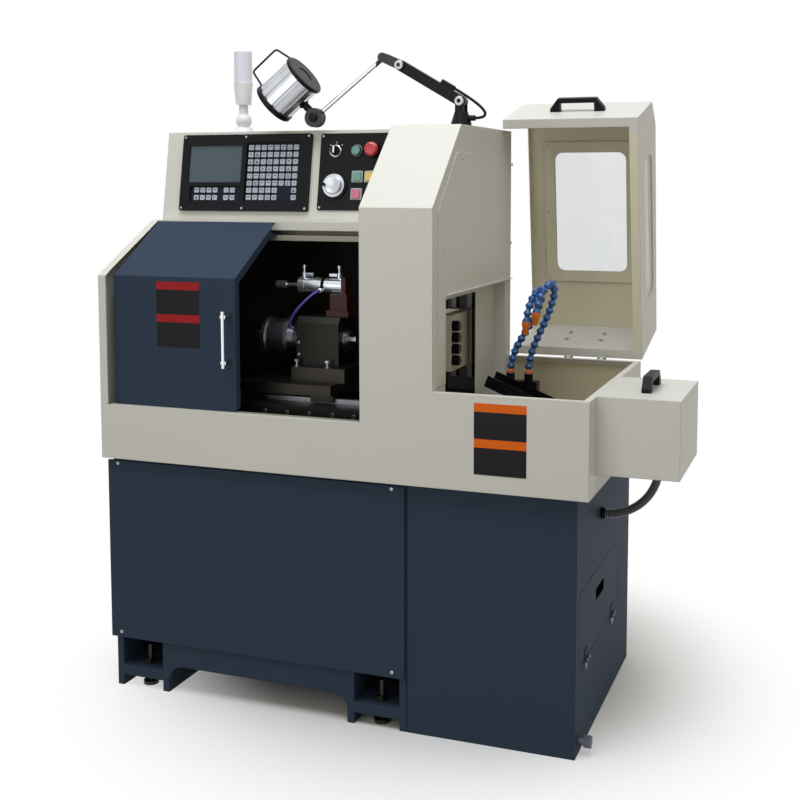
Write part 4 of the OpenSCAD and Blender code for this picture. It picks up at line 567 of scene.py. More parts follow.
def make_finishes():
    """Makes every finish once, from the colours in the sidebar."""
    c = {name: tuple(getattr(colours(), name)) for name in LatheColours.__annotations__}
    powder_coat("Navy powder coat", c["navy"], 0.62, NAVY_SHEEN)
    powder_coat("Cream powder coat", c["cream"], 0.4)
    # Painted shade: the room's, the tub's, the cover's and the rail's colours fill their boxes.
    shaded_coat("Oiled cream coat", c["cream"], 0.42,
               [(*room_box(), c["inside"]), (*tub_box(), c["tub"])])
    shaded_coat("Lined cream coat", c["cream"], 0.4,
               [(*cover_box(), c["lining"]), (*rail_box(), c["rail"])])
    for values in (
        ("Black ABS moulding", c["black"], 0.45, 1.2, 0.04, DARK_SHEEN),
        ("Black stove enamel", c["black"], 0.33, 2.5, 0.03, DARK_SHEEN),
        ("White ABS moulding", linear("#F6F4F6"), 0.4),
        ("Pale grey ABS moulding", linear("#B9BDBE"), 0.4),
        # Painted highlight: the conduit's rings are a lighter grey than the conduit so that their
        # crests show.
        ("Grey polyamide conduit", linear("#7C7D84"), 0.26, 3.0, 0.01, 0.5),
        ("Keypad film", c["film"], 0.38, 0.6, 0.01, DARK_SHEEN),
        ("Silicone key caps", c["key"], 0.45, 0.8, 0.02),
        ("Key print", c["mark"], 0.5, 0.8, 0.01),
        ("Acetal hose segments", c["hose"], 0.14, 2.0, 0.01, 0.6),
        ("Acetal hose fittings", c["fitting"], 0.32, 2.0, 0.02),
        ("Polyurethane hose", c["air"], 0.25, 3.0, 0.01),
        ("Printed plate bands, door", c["door_plate"], 0.35, 1.0, 0.01, DARK_SHEEN),
        ("Printed plate bands, tub", c["tub_plate"], 0.35, 1.0, 0.01, DARK_SHEEN),
        ("Printed plate field", linear("#161416"), 0.35, 1.0, 0.01, DARK_SHEEN),
    ):
        moulded(*values)
    for name, code, *values in METALS:
        worked_metal(name, linear(code), *values)
    for hue in ("green", "red", "pink", "yellow"):
        gloss_cap(f"{hue.title()} acrylic cap", c[hue])
    guide_rails("Ground rails, oiled behind the tools")
    tool_plate("Ground tool plate")
    plated_rod("Chromed rod with enamelled ends", c["black"])
    bracketed("Anodised cylinder and primed bracket")
    clear_sheet("Clear polycarbonate")
    clear_sheet("Lamp glass", 0.0, 0.15)
    dark_glass("Display glass", c["screen"])
    frosted("Frosted acrylic")


# Mesh making


def axes_on(out, right=None):
    """A rotation whose third axis is out and whose first lies towards right."""
    w = Vector(out).normalized()
    u = Vector(right) if right else Vector((1, 0, 0) if abs(w.x) < 0.9 else (0, 1, 0))
    u = (u - w * u.dot(w)).normalized()
    return Matrix((u, w.cross(u), w)).transposed()


def circle(sides, radius):
    """The corners of a round outline about its middle."""
    angles = (math.tau * i / sides for i in range(sides))
    return [(radius * math.cos(a), radius * math.sin(a)) for a in angles]


def rounded(w, h, r, steps=4):
    """A rounded rectangle's outline about its middle."""
    points = []
    for cx, cy, start in ((1, 1, 0), (-1, 1, 90), (-1, -1, 180), (1, -1, 270)):
        for i in range(steps + 1):
            a = math.radians(start + 90 * i / steps)
            points.append((cx * (w / 2 - r) + r * math.cos(a), cy * (h / 2 - r) + r * math.sin(a)))
    return points


def bezier(points, t):
    """A place on a cubic curve."""
    s = 1 - t
    a, b, c, d = points
    return a * s ** 3 + b * 3 * s * s * t + c * 3 * s * t * t + d * t ** 3


def skin(bm, rings, index=0, shut=False):
    """Faces between rings of vertices; a ring may be a single point, and shut closes both ends."""
    for low, high in zip(rings, rings[1:]):
        for i in range(max(len(low), len(high))):
            a, b = i % len(low), (i + 1) % len(low)
            c, d = (i + 1) % len(high), i % len(high)
            corners = list(dict.fromkeys((low[a], low[b], high[c], high[d])))
            if len(corners) > 2:
                bm.faces.new(corners).material_index = index
    if shut:
        for ring in (rings[0][::-1], rings[-1]):
            bm.faces.new(ring).material_index = index


def outlines(bm, lines, base, turn):
    """Rings of vertices from outlines of (x, y) pairs, each at its height on the plane of turn."""
    return [[bm.verts.new(base + turn @ Vector((x, y, h)) * MM) for x, y in line]
            for line, h in lines]


def add_turned(bm, profile, base, out, sides=32, index=0):
    """Turns a profile of (radius, height) pairs in millimetres about the line along out."""
    lines = [(circle(sides if r > 0 else 1, r), h) for r, h in profile]
    skin(bm, outlines(bm, lines, base, axes_on(out)), index)


def add_tube(bm, path, radius, sides=16):
    """A round bar along the points of a path, closed at both ends."""
    side, rings = None, []
    for i, point in enumerate(path):
        turn = axes_on(path[min(i + 1, len(path) - 1)] - path[max(i - 1, 0)], side)
        side = turn.col[0].copy()
        rings += outlines(bm, [(circle(sides, radius), 0)], point, turn)
    skin(bm, rings, shut=True)


def add_slab(bm, outline, base, turn, low, high, index=0):
    """A plate of an outline, standing from low to high on the plane of turn."""
    skin(bm, outlines(bm, [(outline, low), (outline, high)], base, turn), index, shut=True)


def add_band(bm, outer, inner, base, turn, low, high):
    """A closed band between two outlines of as many points."""
    rings = outlines(bm, [(outer, low), (outer, high), (inner, high), (inner, low)], base, turn)
    skin(bm, rings + rings[:1])


def soften(mesh):
    """Smooth shading, with the real edges kept sharp."""
    mesh.polygons.foreach_set("use_smooth", [True] * len(mesh.polygons))
    mesh.set_sharp_from_angle(angle=SHARP_EDGE)


def link(name, data):
    """A new object in the scene, at the origin."""
    obj = bpy.data.objects.new(name, data)
    bpy.context.scene.collection.objects.link(obj)
    return obj


def new_object(name, bm, finishes=()):
    """A mesh object from a finished bmesh."""
    bmesh.ops.remove_doubles(bm, verts=bm.verts[:], dist=WELD)
    bmesh.ops.recalc_face_normals(bm, faces=bm.faces[:])
    mesh = bpy.data.meshes.new(name)
    bm.to_mesh(mesh)
    bm.free()
    for key in finishes:
        mesh.materials.append(FINISHES[key])
    soften(mesh)
    return link(name, mesh)


def turned_part(name, profile, sides, r=1, p=1):
    """A loose turned part about the origin, its profile scaled across by r and along by p."""
    bm = bmesh.new()
    add_turned(bm, [(r * a, p * b) for a, b in profile], Vector(), UP, sides)
    return new_object(name, bm)


def settle(obj, body, slot, *nodes):
    """Fixes a piece to its body and hides the nodes that it stands for; slot is not used."""
    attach(obj, body)
    if nodes:
        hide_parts(*nodes)


@contextmanager
def piece(name, finishes, body, slot, *nodes):
    """Lends an empty mesh to be filled, and settles the piece made from it."""
    bm = bmesh.new()
    yield bm
    settle(new_object(name, bm, finishes), body, slot, *nodes)


# Geometry Nodes

TREES = {}


def new_tree(name, inputs):
    """A modifier tree, its start and the identifiers of its inputs."""
    tree = bpy.data.node_groups.new(name, "GeometryNodeTree")
    tree.is_modifier = True
    for way in ("INPUT", "OUTPUT"):
        tree.interface.new_socket("Geometry", in_out=way, socket_type="NodeSocketGeometry")
    keys = {
        title: tree.interface.new_socket(title, in_out="INPUT", socket_type=kind).identifier
        for title, kind in inputs
    }
    return tree, keys, add(tree, "NodeGroupInput").outputs


def set_parts(tree, start, inputs):
    """Ends a tree: its part on every point, made real and given its finish."""
    part = add(tree, "GeometryNodeObjectInfo", {"Object": start["Part"]})
    put = add(tree, "GeometryNodeInstanceOnPoints",
              {"Instance": part.outputs["Geometry"], **inputs})
    real = add(tree, "GeometryNodeRealizeInstances", {"Geometry": put.outputs["Instances"]})
    done = add(tree, "GeometryNodeSetMaterial",
               {"Geometry": real.outputs["Geometry"], "Material": start["Finish"]})
    add(tree, "NodeGroupOutput", {"Geometry": done.outputs["Geometry"]})


def row_tree():
    """Sets a part on every point, turned by its facing and along and scaled by its size."""
    tree, keys, start = new_tree("Row of like parts", (
        ("Part", "NodeSocketObject"), ("Finish", "NodeSocketMaterial")))
    facing, along, size = (
        add(tree, "GeometryNodeInputNamedAttribute", {"Name": name},
            data_type="FLOAT_VECTOR").outputs["Attribute"]
        for name in ("facing", "along", "size"))
    stand = add(tree, "FunctionNodeAlignRotationToVector", {"Vector": facing}, axis="Z")
    turn = add(tree, "FunctionNodeAlignRotationToVector",
               {"Rotation": stand.outputs["Rotation"], "Vector": along}, axis="X", pivot_axis="Z")
    set_parts(tree, start, {
        "Points": start["Geometry"], "Rotation": turn.outputs["Rotation"], "Scale": size})
    return tree, keys


def chain_tree():
    """Sets parts along a line of edges, each turned to the line."""
    tree, keys, start = new_tree("Chain of links", (
        ("Part", "NodeSocketObject"), ("Count", "NodeSocketInt"),
        ("Finish", "NodeSocketMaterial")))
    curve = add(tree, "GeometryNodeMeshToCurve", {"Mesh": start["Geometry"]})
    points = add(tree, "GeometryNodeCurveToPoints",
                 {"Curve": curve.outputs["Curve"], "Count": start["Count"]}, mode="COUNT").outputs
    turn = add(tree, "FunctionNodeAlignRotationToVector", {"Vector": points["Tangent"]}, axis="Z")
    set_parts(tree, start, {"Points": points["Points"], "Rotation": turn.outputs["Rotation"]})
    return tree, keys


def grow(name, mesh, make_tree, part, finish_name, **settings):
    """Runs a tree on a mesh, removes the loose part and returns the plain result."""
    if make_tree not in TREES:
        TREES[make_tree] = make_tree()
    tree, keys = TREES[make_tree]
    obj = link(name, mesh)
    modifier = obj.modifiers.new("Nodes", "NODES")
    modifier.node_group = tree
    settings.update(Part=part, Finish=FINISHES[finish_name])
    for title, value in settings.items():
        modifier[keys[title]] = value
    bpy.context.view_layer.update()
    graph = bpy.context.evaluated_depsgraph_get()
    made = bpy.data.meshes.new_from_object(obj.evaluated_get(graph))
    obj.modifiers.remove(modifier)
    obj.data = made
    soften(made)
    bpy.data.objects.remove(part)
    return obj


def row(name, part, places, finish_name):
    """Sets part on places of (point, facing, along, size)."""
    mesh = bpy.data.meshes.new(name + "_points")
    mesh.from_pydata([p[0] for p in places], [], [])
    for n, title in enumerate(("facing", "along", "size")):
        layer = mesh.attributes.new(title, "FLOAT_VECTOR", "POINT")
        layer.data.foreach_set("vector", [v for p in places for v in p[n + 1]])
    return grow(name, mesh, row_tree, part, finish_name)


def chain(name, part, path, pitch, more, finish_name):
    """Sets parts along a path, about a pitch apart, and so many more than fit on it."""
    mesh = bpy.data.meshes.new(name + "_path")
    mesh.from_pydata(path, [(i, i + 1) for i in range(len(path) - 1)], [])
    reach = sum((b - a).length for a, b in zip(path, path[1:]))
    return grow(name, mesh, chain_tree, part, finish_name, Count=round(reach / pitch) + more)


# Fasteners

SCREW = ((0, 0.25), (0.46, 0.25), (0.46, 0.62), (0.86, 0.62), (1, 0.46), (1, -0.1), (0, -0.1))
SCREW_SEED = 7
CONSOLE_EDGE, REAR_EDGE, REAR_FACE_Y = 8, 14 * MM, 702
SIDE_SHARE, HEAD_SHARE = 0.8, 0.6
SIDE_SCREWS = (
    (191, 1529), (435, 1525), (33, 1377), (33, 1292), (29, 1051), (672, 1521), (666, 1282))
WASHER = ((0, 0), (8.5, 0), (8.5, 1.8), (0, 1.8))
STUD = ((0, 1.8), (3.6, 1.8), (3.6, 14), (0, 14))
NUT = ((0, 14), (7.4, 14), (7.4, 19.6), (6.6, 20.4), (0, 20.4))
WINDOW_X0, WINDOW_W, WINDOW_BACK, WINDOW_LEN, WINDOW_R = 168, 230, 188, 386, 25
PANE_EDGE, PANE_DEEP, LEAF_T = 24, 6, 2
FRAME_DEEP, FRAME_T, FRAME_OVER, FRAME_R = 6.4, 1.5, 35, 6


def screw(place, facing, radius, rng):
    """One screw: its place, facing, turned at random, and its head's radius in metres."""
    a = rng.uniform(0, math.tau)
    along = axes_on(facing) @ Vector((math.cos(a), math.sin(a), 0))
    return place, facing, along, (radius / MM,) * 3


def console_screws(rng):
    """The six screws of the control's bezel and the four of the operator plate."""
    e = CONSOLE_EDGE
    places = [on_bezel(x, up, BEZEL_T)
              for x in (e, BEZEL_W / 2, BEZEL_W - e) for up in (e, BEZEL_H - e)]
    places += [on_plate(x, up) for x in (e, PLATE_W - e) for up in (e, PLATE_H - e)]
    return [screw(p, CONSOLE_OUT, sizes().small_screw, rng) for p in places]


def panel_screws(rng):
    """Screws of the base's front panel, the hood's side panel and the rear cover."""
    r = sizes().panel_screw
    out = [screw(shop(x, 0, z), FRONT, r, rng) for x in (-886, -40) for z in (163, 662)]
    for y, z in SIDE_SCREWS:
        place = shop(0, y, z)
        place.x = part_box("hood_side_panel")[1].x
        out.append(screw(place, RIGHT, r * SIDE_SHARE, rng))
    low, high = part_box("rear_cover")
    for x in (low.x + REAR_EDGE, (low.x + high.x) / 2, high.x - REAR_EDGE):
        for z in (low.z + REAR_EDGE, high.z - REAR_EDGE):
            place = Vector((x, FRONT_Y + REAR_FACE_Y * MM, z))
            out.append(screw(place, -FRONT, r, rng))
    return out


def bed_bolts(rng):
    """Bolts along the bed's front."""
    return [screw(shop(x, 110, 822), FRONT, sizes().bolt, rng)
            for x in (-467, -398, -330, -259, -194)]


def head_bolts(rng):
    """The two screws at the left of the headstock's front."""
    return [screw(shop(-423, 238, z), FRONT, sizes().bolt * HEAD_SHARE, rng) for z in (968, 1003)]


def cover_screws(rng):
    """Screws round the top window's pane, inside and outside, and in the hinge leaves."""
    outside = cover_way(TOP_OUT)
    middle = (WINDOW_X0 + WINDOW_W / 2, WINDOW_BACK + WINDOW_LEN / 2)
    out = []
    for x in (WINDOW_X0 - PANE_EDGE, middle[0], WINDOW_X0 + WINDOW_W + PANE_EDGE):
        for along in (WINDOW_BACK - PANE_EDGE, middle[1], WINDOW_BACK + WINDOW_LEN + PANE_EDGE):
            if (x, along) != middle:
                for deep, facing in ((0, outside), (PANE_DEEP, -outside)):
                    out.append(screw(on_top(x, along, deep), facing, sizes().small_screw, rng))
    back = (COVER_TOP_REAR - COVER_BACK_LOW).normalized()
    inward = Vector((-back.y, back.x))
    for x in (225, 335):
        for along in (138, 198):
            place = on_cover(x, COVER_BACK_LOW + back * along + inward * LEAF_T)
            out.append(screw(place, cover_way(inward), sizes().bolt, rng))
    return out


class LATHE_OT_fasteners(bpy.types.Operator):
    """Sets the screws and bolts of every body, and the frame of the cover's window"""

    bl_idname = "lathe.fasteners"
    bl_label = "Fasteners"

    def execute(self, context):
        rng = random.Random(SCREW_SEED)
        for name, places, finish_name, body in (
            ("panel_screws", console_screws(rng) + panel_screws(rng), "Zinc-plated steel",
             "machine"),
            ("bed_bolts", bed_bolts(rng), "Dulled zinc plate", "machine"),
            ("head_bolts", head_bolts(rng), "Zinc-plated steel", "head"),
            ("cover_screws", cover_screws(rng), "Zinc-plated steel", "cover"),
        ):
            head = turned_part("screw_head", SCREW, 16)
            settle(row(name, head, places, finish_name), body, "zinc_steel")
        self.clamp_studs()
        self.window_frame()
        return {"FINISHED"}

    def clamp_studs(self):
        """The studs, nuts and washers that hold the headstock to its saddle."""
        with piece("clamp_studs", ["Zinc-plated steel"], "head", "zinc_steel") as bm:
            for x in (-420, -323):
                base = shop(x, 216, 0)
                base.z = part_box("headstock_slide")[1].z
                for profile, sides in ((WASHER, 24), (STUD, 16), (NUT, 6)):
                    add_turned(bm, profile, base, UP, sides)

    def window_frame(self):
        """The flat frame that holds the top window's pane on the inside."""
        base = on_top(WINDOW_X0 + WINDOW_W / 2, WINDOW_BACK + WINDOW_LEN / 2)
        outer = rounded(WINDOW_W + 2 * FRAME_OVER, WINDOW_LEN + 2 * FRAME_OVER, FRAME_R, 6)
        inner = rounded(WINDOW_W, WINDOW_LEN, WINDOW_R, 6)
        # The frame takes the cover's painted warm shade.
        with piece("window_frame", ["Lined cream coat"], "cover", "cream_paint") as bm:
            add_band(bm, outer, inner, base, axes_on(-cover_way(TOP_OUT), RIGHT),
                     FRAME_DEEP, FRAME_DEEP + FRAME_T)


# Keypad and controls

KEYS_X, KEYS_UP, KEYS_W, KEYS_H = 221, 28, 178, 180
SOFT_X, SOFT_UP, SOFT_W, SOFT_H = 35, 29, 171, 46
KEY_COLS, KEY_ROWS, KEY_PITCH_X, KEY_PITCH_Y, KEY_IN = 8, 8, 21.4, 21.6, 13.5
SOFT_COLS, SOFT_FIRST, SOFT_IN, SOFT_SPLIT = 6, 4, 21.3, 16.4
WIDE_ROWS = 2
FILM_LOW, FILM_T, FILM_GAP = 4, 2, 0.8
CAP_H, CAP_EDGE, CAP_CROWN = 2.6, 1 * MM, 0.8 * MM
MARK_SEED, MARK_UP, MARK_PITCH, MARK_OUT = 11, 1.5, 4.5, 3.35
FLAT = Matrix.Identity(3)


def key_places():
    """Middle of each key, in millimetres on the bezel."""
    first = KEYS_X + KEYS_W / 2 - KEY_PITCH_X * (KEY_COLS - 1) / 2
    places = [
        (first + c * KEY_PITCH_X, KEYS_UP + KEY_IN + r * KEY_PITCH_Y)
        for r in range(KEY_ROWS) for c in range(KEY_COLS)
        if r >= WIDE_ROWS or c < KEY_COLS - 3 or c == KEY_COLS - 1
    ]
    return places + [
        (SOFT_X + SOFT_IN + c * KEY_PITCH_X + (SOFT_SPLIT if c >= SOFT_FIRST else 0),
         SOFT_UP + SOFT_H * (1 + 2 * r) / 4)
        for r in range(2) for c in range(SOFT_COLS)
    ]


def key_cap():
    """One key cap with rounded corners and a bevelled top, its foot at the origin."""
    bm = bmesh.new()
    add_slab(bm, rounded(sizes().key_w / MM, sizes().key_h / MM, 2), Vector(), FLAT, 0, CAP_H)
    top = max(bm.faces, key=lambda f: f.calc_center_median().z)
    bmesh.ops.inset_region(bm, faces=[top], thickness=CAP_EDGE, depth=CAP_CROWN)
    return new_object("key_cap", bm)


def key_mark():
    """A small bar of print."""
    bm = bmesh.new()
    add_slab(bm, rounded(6, 2, 0.6, 2), Vector(), FLAT, 0, 0.1)
    return new_object("key_mark", bm)


class LATHE_OT_keypad(bpy.types.Operator):
    """Makes the control's film, its key caps and their marks"""

    bl_idname = "lathe.keypad"
    bl_label = "Keypad"

    def execute(self, context):
        turn = axes_on(CONSOLE_OUT, RIGHT)
        with piece("keypad_film", ["Keypad film"], "machine", "key_plastic", "cnc_keys") as bm:
            for x, up, w, h in (
                (KEYS_X, KEYS_UP, KEYS_W, KEYS_H), (SOFT_X, SOFT_UP, SOFT_W, SOFT_H),
            ):
                middle = on_bezel(x + w / 2, up + h / 2, FILM_LOW)
                add_slab(bm, rounded(w - FILM_GAP, h - FILM_GAP, 2), middle, turn, 0, FILM_T)
        rng = random.Random(MARK_SEED)
        caps, marks = [], []
        for x, up in key_places():
            foot = on_bezel(x, up, FILM_LOW + FILM_T)
            caps.append((foot, CONSOLE_OUT, RIGHT, EVEN))
            for line in range(rng.choice((1, 1, 2))):
                rise = CONSOLE_UP * (MARK_UP - MARK_PITCH * line) + CONSOLE_OUT * MARK_OUT
                size = (rng.uniform(0.5, 1.4), rng.uniform(0.8, 1.6), 1)
                marks.append((foot + rise * MM, CONSOLE_OUT, RIGHT, size))
        settle(row("key_caps", key_cap(), caps, "Silicone key caps"), "machine", "key_plastic")
        settle(row("key_marks", key_mark(), marks, "Key print"), "machine", "key_plastic")
        return {"FINISHED"}


SELECTOR, START, STOP, WHEEL = (51, 175), (119, 175), (173, 175), (53, 72)
SQUARES = ((124, 99), (124, 48), (164, 99))
SQUARE_OUT, SQUARE_IN, SQUARE_LOW, SQUARE_HIGH = 34, 26.7, 0.05, 3.5
COLLAR_T, DIAL_T, COLLAR_IN, COLLAR_OUT = 6, 5, 18.1, 18.6
SOFT_GAP, KNOB_OUT = 0.3, 15
KNOB_TOP = COLLAR_T + SOFT_GAP + KNOB_OUT
MARK_REACH, POINTER_UP = Vector((26, 0, 0)), 2.5
WHEEL_R, SPINNER_IN = 34.5, 23.5
WHEEL_PROFILE = (
    (0, 0.3), (WHEEL_R, 0.3), (WHEEL_R, 5), (WHEEL_R - 1, 6), (WHEEL_R - 7, 6), (WHEEL_R - 8, 7),
    (WHEEL_R - 8, 14.6), (WHEEL_R - 9.6, 16.3), (20, 16.3), (19, 15.7), (0, 15.7))
SPINNER = ((0, 12), (5.6, 12), (5.6, 14), (4.2, 15), (5.2, 26.5), (3.8, 28.2), (0, 28.2))
MUSHROOM = (
    (0, 0.4), (6, 0.4), (6, 8.3), (12, 8.3), (19.6, 14.6), (20.8, 16.2), (21, 18), (21, 22.5),
    (20.2, 25.6), (18, 28.2), (14.6, 29.8), (11.6, 30.2), (11, 29.4), (0, 29.4))


class LATHE_OT_controls(bpy.types.Operator):
    """Adds the rings, the pointer and the dial's marks to the operator plate"""

    bl_idname = "lathe.controls"
    bl_label = "Controls"

    def execute(self, context):
        turn = axes_on(CONSOLE_OUT, RIGHT)
        self.rings()
        self.selector(turn)
        base = on_plate(*WHEEL, DIAL_T)
        with piece("handwheel_knob", ["Turned aluminium", "Black ABS moulding"], "wheel",
                   "aluminium", "handwheel") as bm:
            add_turned(bm, WHEEL_PROFILE, base, CONSOLE_OUT, 72)
            add_turned(bm, SPINNER, base - RIGHT * SPINNER_IN * MM, CONSOLE_OUT, 28, 1)
        outer, inner = rounded(SQUARE_OUT, SQUARE_OUT, 3), rounded(SQUARE_IN, SQUARE_IN, 1)
        with piece("button_frames", ["Pale grey ABS moulding"], "machine", "white_plastic") as bm:
            for place in SQUARES:
                add_band(bm, outer, inner, on_plate(*place), turn, SQUARE_LOW, SQUARE_HIGH)
        with piece("stop_mushroom", ["Red acrylic cap"], "estop", "red_plastic",
                   "estop_button") as bm:
            add_turned(bm, MUSHROOM, on_plate(*STOP, COLLAR_T), CONSOLE_OUT, 48)
        return {"FINISHED"}

    def rings(self):
        """The collars of the selector and of the start button."""
        with piece("button_rings", ["Chrome plate", "Dulled zinc plate"], "machine",
                   "chrome") as bm:
            for index, (place, inner) in enumerate(((SELECTOR, 15), (START, 14.4))):
                profile = [
                    (inner, 6.2), (inner, 7.4), (COLLAR_OUT - 2, 7.4), (COLLAR_OUT, 5.4),
                    (COLLAR_OUT, 0), (COLLAR_IN, 0), (COLLAR_IN, 6.2), (inner, 6.2)]
                add_turned(bm, profile, on_plate(*place), CONSOLE_OUT, 40, index)

    def selector(self, turn):
        """The selector's three marks and its pointer."""
        base = on_plate(*SELECTOR)
        right, upright, left = (
            turn @ Matrix.Rotation(math.radians(deg), 3, "Z") for deg in (45, 90, 135))
        with piece("selector_marks", ["White ABS moulding"], "machine", "key_plastic") as bm:
            for spoke in (right, upright, left):
                place = base + spoke @ MARK_REACH * MM
                add_slab(bm, rounded(5, 1.6, 0.6, 2), place, spoke, 0, 0.2)
        with piece("selector_pointer", ["White ABS moulding"], "selector", "key_plastic") as bm:
            tip = base + (CONSOLE_OUT * KNOB_TOP + CONSOLE_UP * POINTER_UP) * MM
            add_slab(bm, rounded(21, 5.4, 1, 2), tip, upright, 0, 0.5)


# Plates on the door and the tub

PLATE_SHARES = ((0.0, 0.12, 0), (0.12, 0.5, 1), (0.5, 0.62, 0), (0.62, 1.0, 1))
PLATE_CORNER, PLATE_THICK = 1.5, 0.8


def banded_plate(name, x0, x1, y, z0, z1, band_finish, body, slot):
    """A thin plate of two bands over two plain fields, on a front-facing sheet."""
    turn = axes_on(FRONT, RIGHT)
    h = z1 - z0
    with piece(name, [band_finish, "Printed plate field"], body, slot) as bm:
        for top, bottom, index in PLATE_SHARES:
            middle = shop((x0 + x1) / 2, y, z1 - h * (top + bottom) / 2)
            outline = rounded(x1 - x0, h * (bottom - top), PLATE_CORNER, 2)
            add_slab(bm, outline, middle, turn, 0, PLATE_THICK, index)


class LATHE_OT_plates(bpy.types.Operator):
    """Puts the plain two-colour plates on the door and the tub"""

    bl_idname = "lathe.plates"
    bl_label = "Plates"

    def execute(self, context):
        banded_plate("door_plate", -750, -613, 4, 1007, 1190, "Printed plate bands, door",
                     "door", "red_plastic")
        banded_plate("tub_plate", 193, 331, -20, 726, 910, "Printed plate bands, tub",
                     "machine", "yellow_plastic")
        return {"FINISHED"}


# Hoses and conduit

HOSE_FOOT_Z, MANIFOLD_Y = 894, 572
HOSES = (
    {"x": 120, "rise": 250, "lean": 88, "drop": 42, "side": -18},
    {"x": 176, "rise": 262, "lean": 72, "drop": 26, "side": -28},
)
HOSE_HOOK, HOOK_SHARE, HOSE_STEPS = 40, 2.4, 30
NOZZLE_LEN, NOZZLE_BORE = 40, 12
BEAD = ((0, -0.5), (0.58, -0.5), (0.64, -0.42), (0.97, -0.1), (1, -0.02), (0.98, 0.07),
        (0.8, 0.2), (0.64, 0.36), (0.6, 0.52), (0, 0.52))
HOSE_FOOT = ((0, -2), (0.9, -2), (0.98, 2), (0.98, 9), (0.7, 13), (0, 13))
NOZZLE = ((0, -4), (0.7, -4), (1.02, 2), (1.02, 14), (0.8, 19), (0.46, NOZZLE_LEN),
          (0.3, NOZZLE_LEN), (0.3, NOZZLE_LEN - NOZZLE_BORE), (0, NOZZLE_LEN - NOZZLE_BORE))
AIR_START, AIR_END, AIR_R = Vector((-367, 268, 1154)), Vector((-431, 250, 1040)), 4
AIR_FRONT, AIR_BOW, AIR_STEPS = 70, 76, 40
FIT_R = AIR_R + 0.15
AIR_NUT = ((FIT_R, 0.05), (8, 0.05), (8, 6), (6.4, 7), (6.4, 15), (5.4, 16), (FIT_R, 16),
           (FIT_R, 0.05))
AIR_SLEEVE = ((FIT_R, 0.05), (6.6, 0.05), (6.6, 7), (5.6, 8), (FIT_R, 8), (FIT_R, 0.05))


def hose_routes(h):
    """The two bends of a coolant hose: up from its valve, then over and down to the front."""
    p = Vector((h["x"], MANIFOLD_Y, HOSE_FOOT_Z))
    q = p + Vector((h["lean"], 0, h["rise"] - HOSE_HOOK))
    rise = Vector((0, 0, h["rise"] / 3))
    before = q - Vector((h["lean"] / 3, 0, h["rise"] / 3))
    slope = (q - before).normalized()
    e = q + Vector((h["side"], -2 * HOSE_HOOK, -h["drop"]))
    over = e + Vector((-h["side"] / 2, 0, HOOK_SHARE * HOSE_HOOK))
    return [p, p + rise, before, q], [q, q + slope * 2 * HOSE_HOOK, over, e]


def smooth(route, steps):
    """The points of a cubic curve."""
    return [bezier(route, i / steps) for i in range(steps + 1)]


class LATHE_OT_hoses(bpy.types.Operator):
    """Makes the segmented coolant hoses with their feet and nozzles, and the air hose"""

    bl_idname = "lathe.hoses"
    bl_label = "Hoses"

    def execute(self, context):
        r, pitch = sizes().hose_d / MM / 2, sizes().bead_pitch
        stands_for = ["coolant_hoses"]
        with piece("hose_fittings", ["Acetal hose fittings"], "machine", "blue_plastic") as bm:
            for n, h in enumerate(HOSES):
                up, over = (smooth(route, HOSE_STEPS) for route in hose_routes(h))
                points = [shop(*p) for p in up[:-1] + over]
                bead = turned_part("hose_bead", BEAD, 20, r, pitch / MM)
                hose = chain(f"coolant_hose_{n + 1}", bead, points, pitch, 0,
                             "Acetal hose segments")
                settle(hose, "machine", "blue_plastic", *stands_for)
                stands_for = []
                way = points[-1] - points[-2]
                for profile, base, out, sides in (
                    (HOSE_FOOT, points[0], UP, 12), (NOZZLE, points[-1], way, 28),
                ):
                    add_turned(bm, [(r * a, b) for a, b in profile], base, out, sides)
        self.air_hose()
        return {"FINISHED"}

    def air_hose(self):
        """The clamp cylinder's hose, from its first port down to the headstock."""
        route = [AIR_START, AIR_START - Vector((0, AIR_FRONT, 0)),
                 AIR_END - Vector((AIR_BOW, 0, 0)), AIR_END]
        with piece("air_hose_smooth", ["Polyurethane hose"], "head", "blue_plastic",
                   "air_hose") as bm:
            add_tube(bm, [shop(*p) for p in smooth(route, AIR_STEPS)], AIR_R, 20)
        with piece("air_fittings", ["Chrome plate"], "head", "chrome") as bm:
            add_turned(bm, AIR_NUT, shop(*AIR_END), -RIGHT, 6)
            add_turned(bm, AIR_SLEEVE, shop(*AIR_START), FRONT, 24)


CONDUIT_Y, CONDUIT_LOW, CONDUIT_BEND, CONDUIT_START, CONDUIT_TOP = 300, 567, 142, 470, 718
CONDUIT_STEPS, CORE_SHARE = 40, 0.84
CONDUIT_RING = ((0, -0.52), (0.74, -0.52), (0.75, -0.3), (0.96, -0.22), (1, 0), (0.96, 0.22),
                (0.75, 0.3), (0.74, 0.52), (0, 0.52))


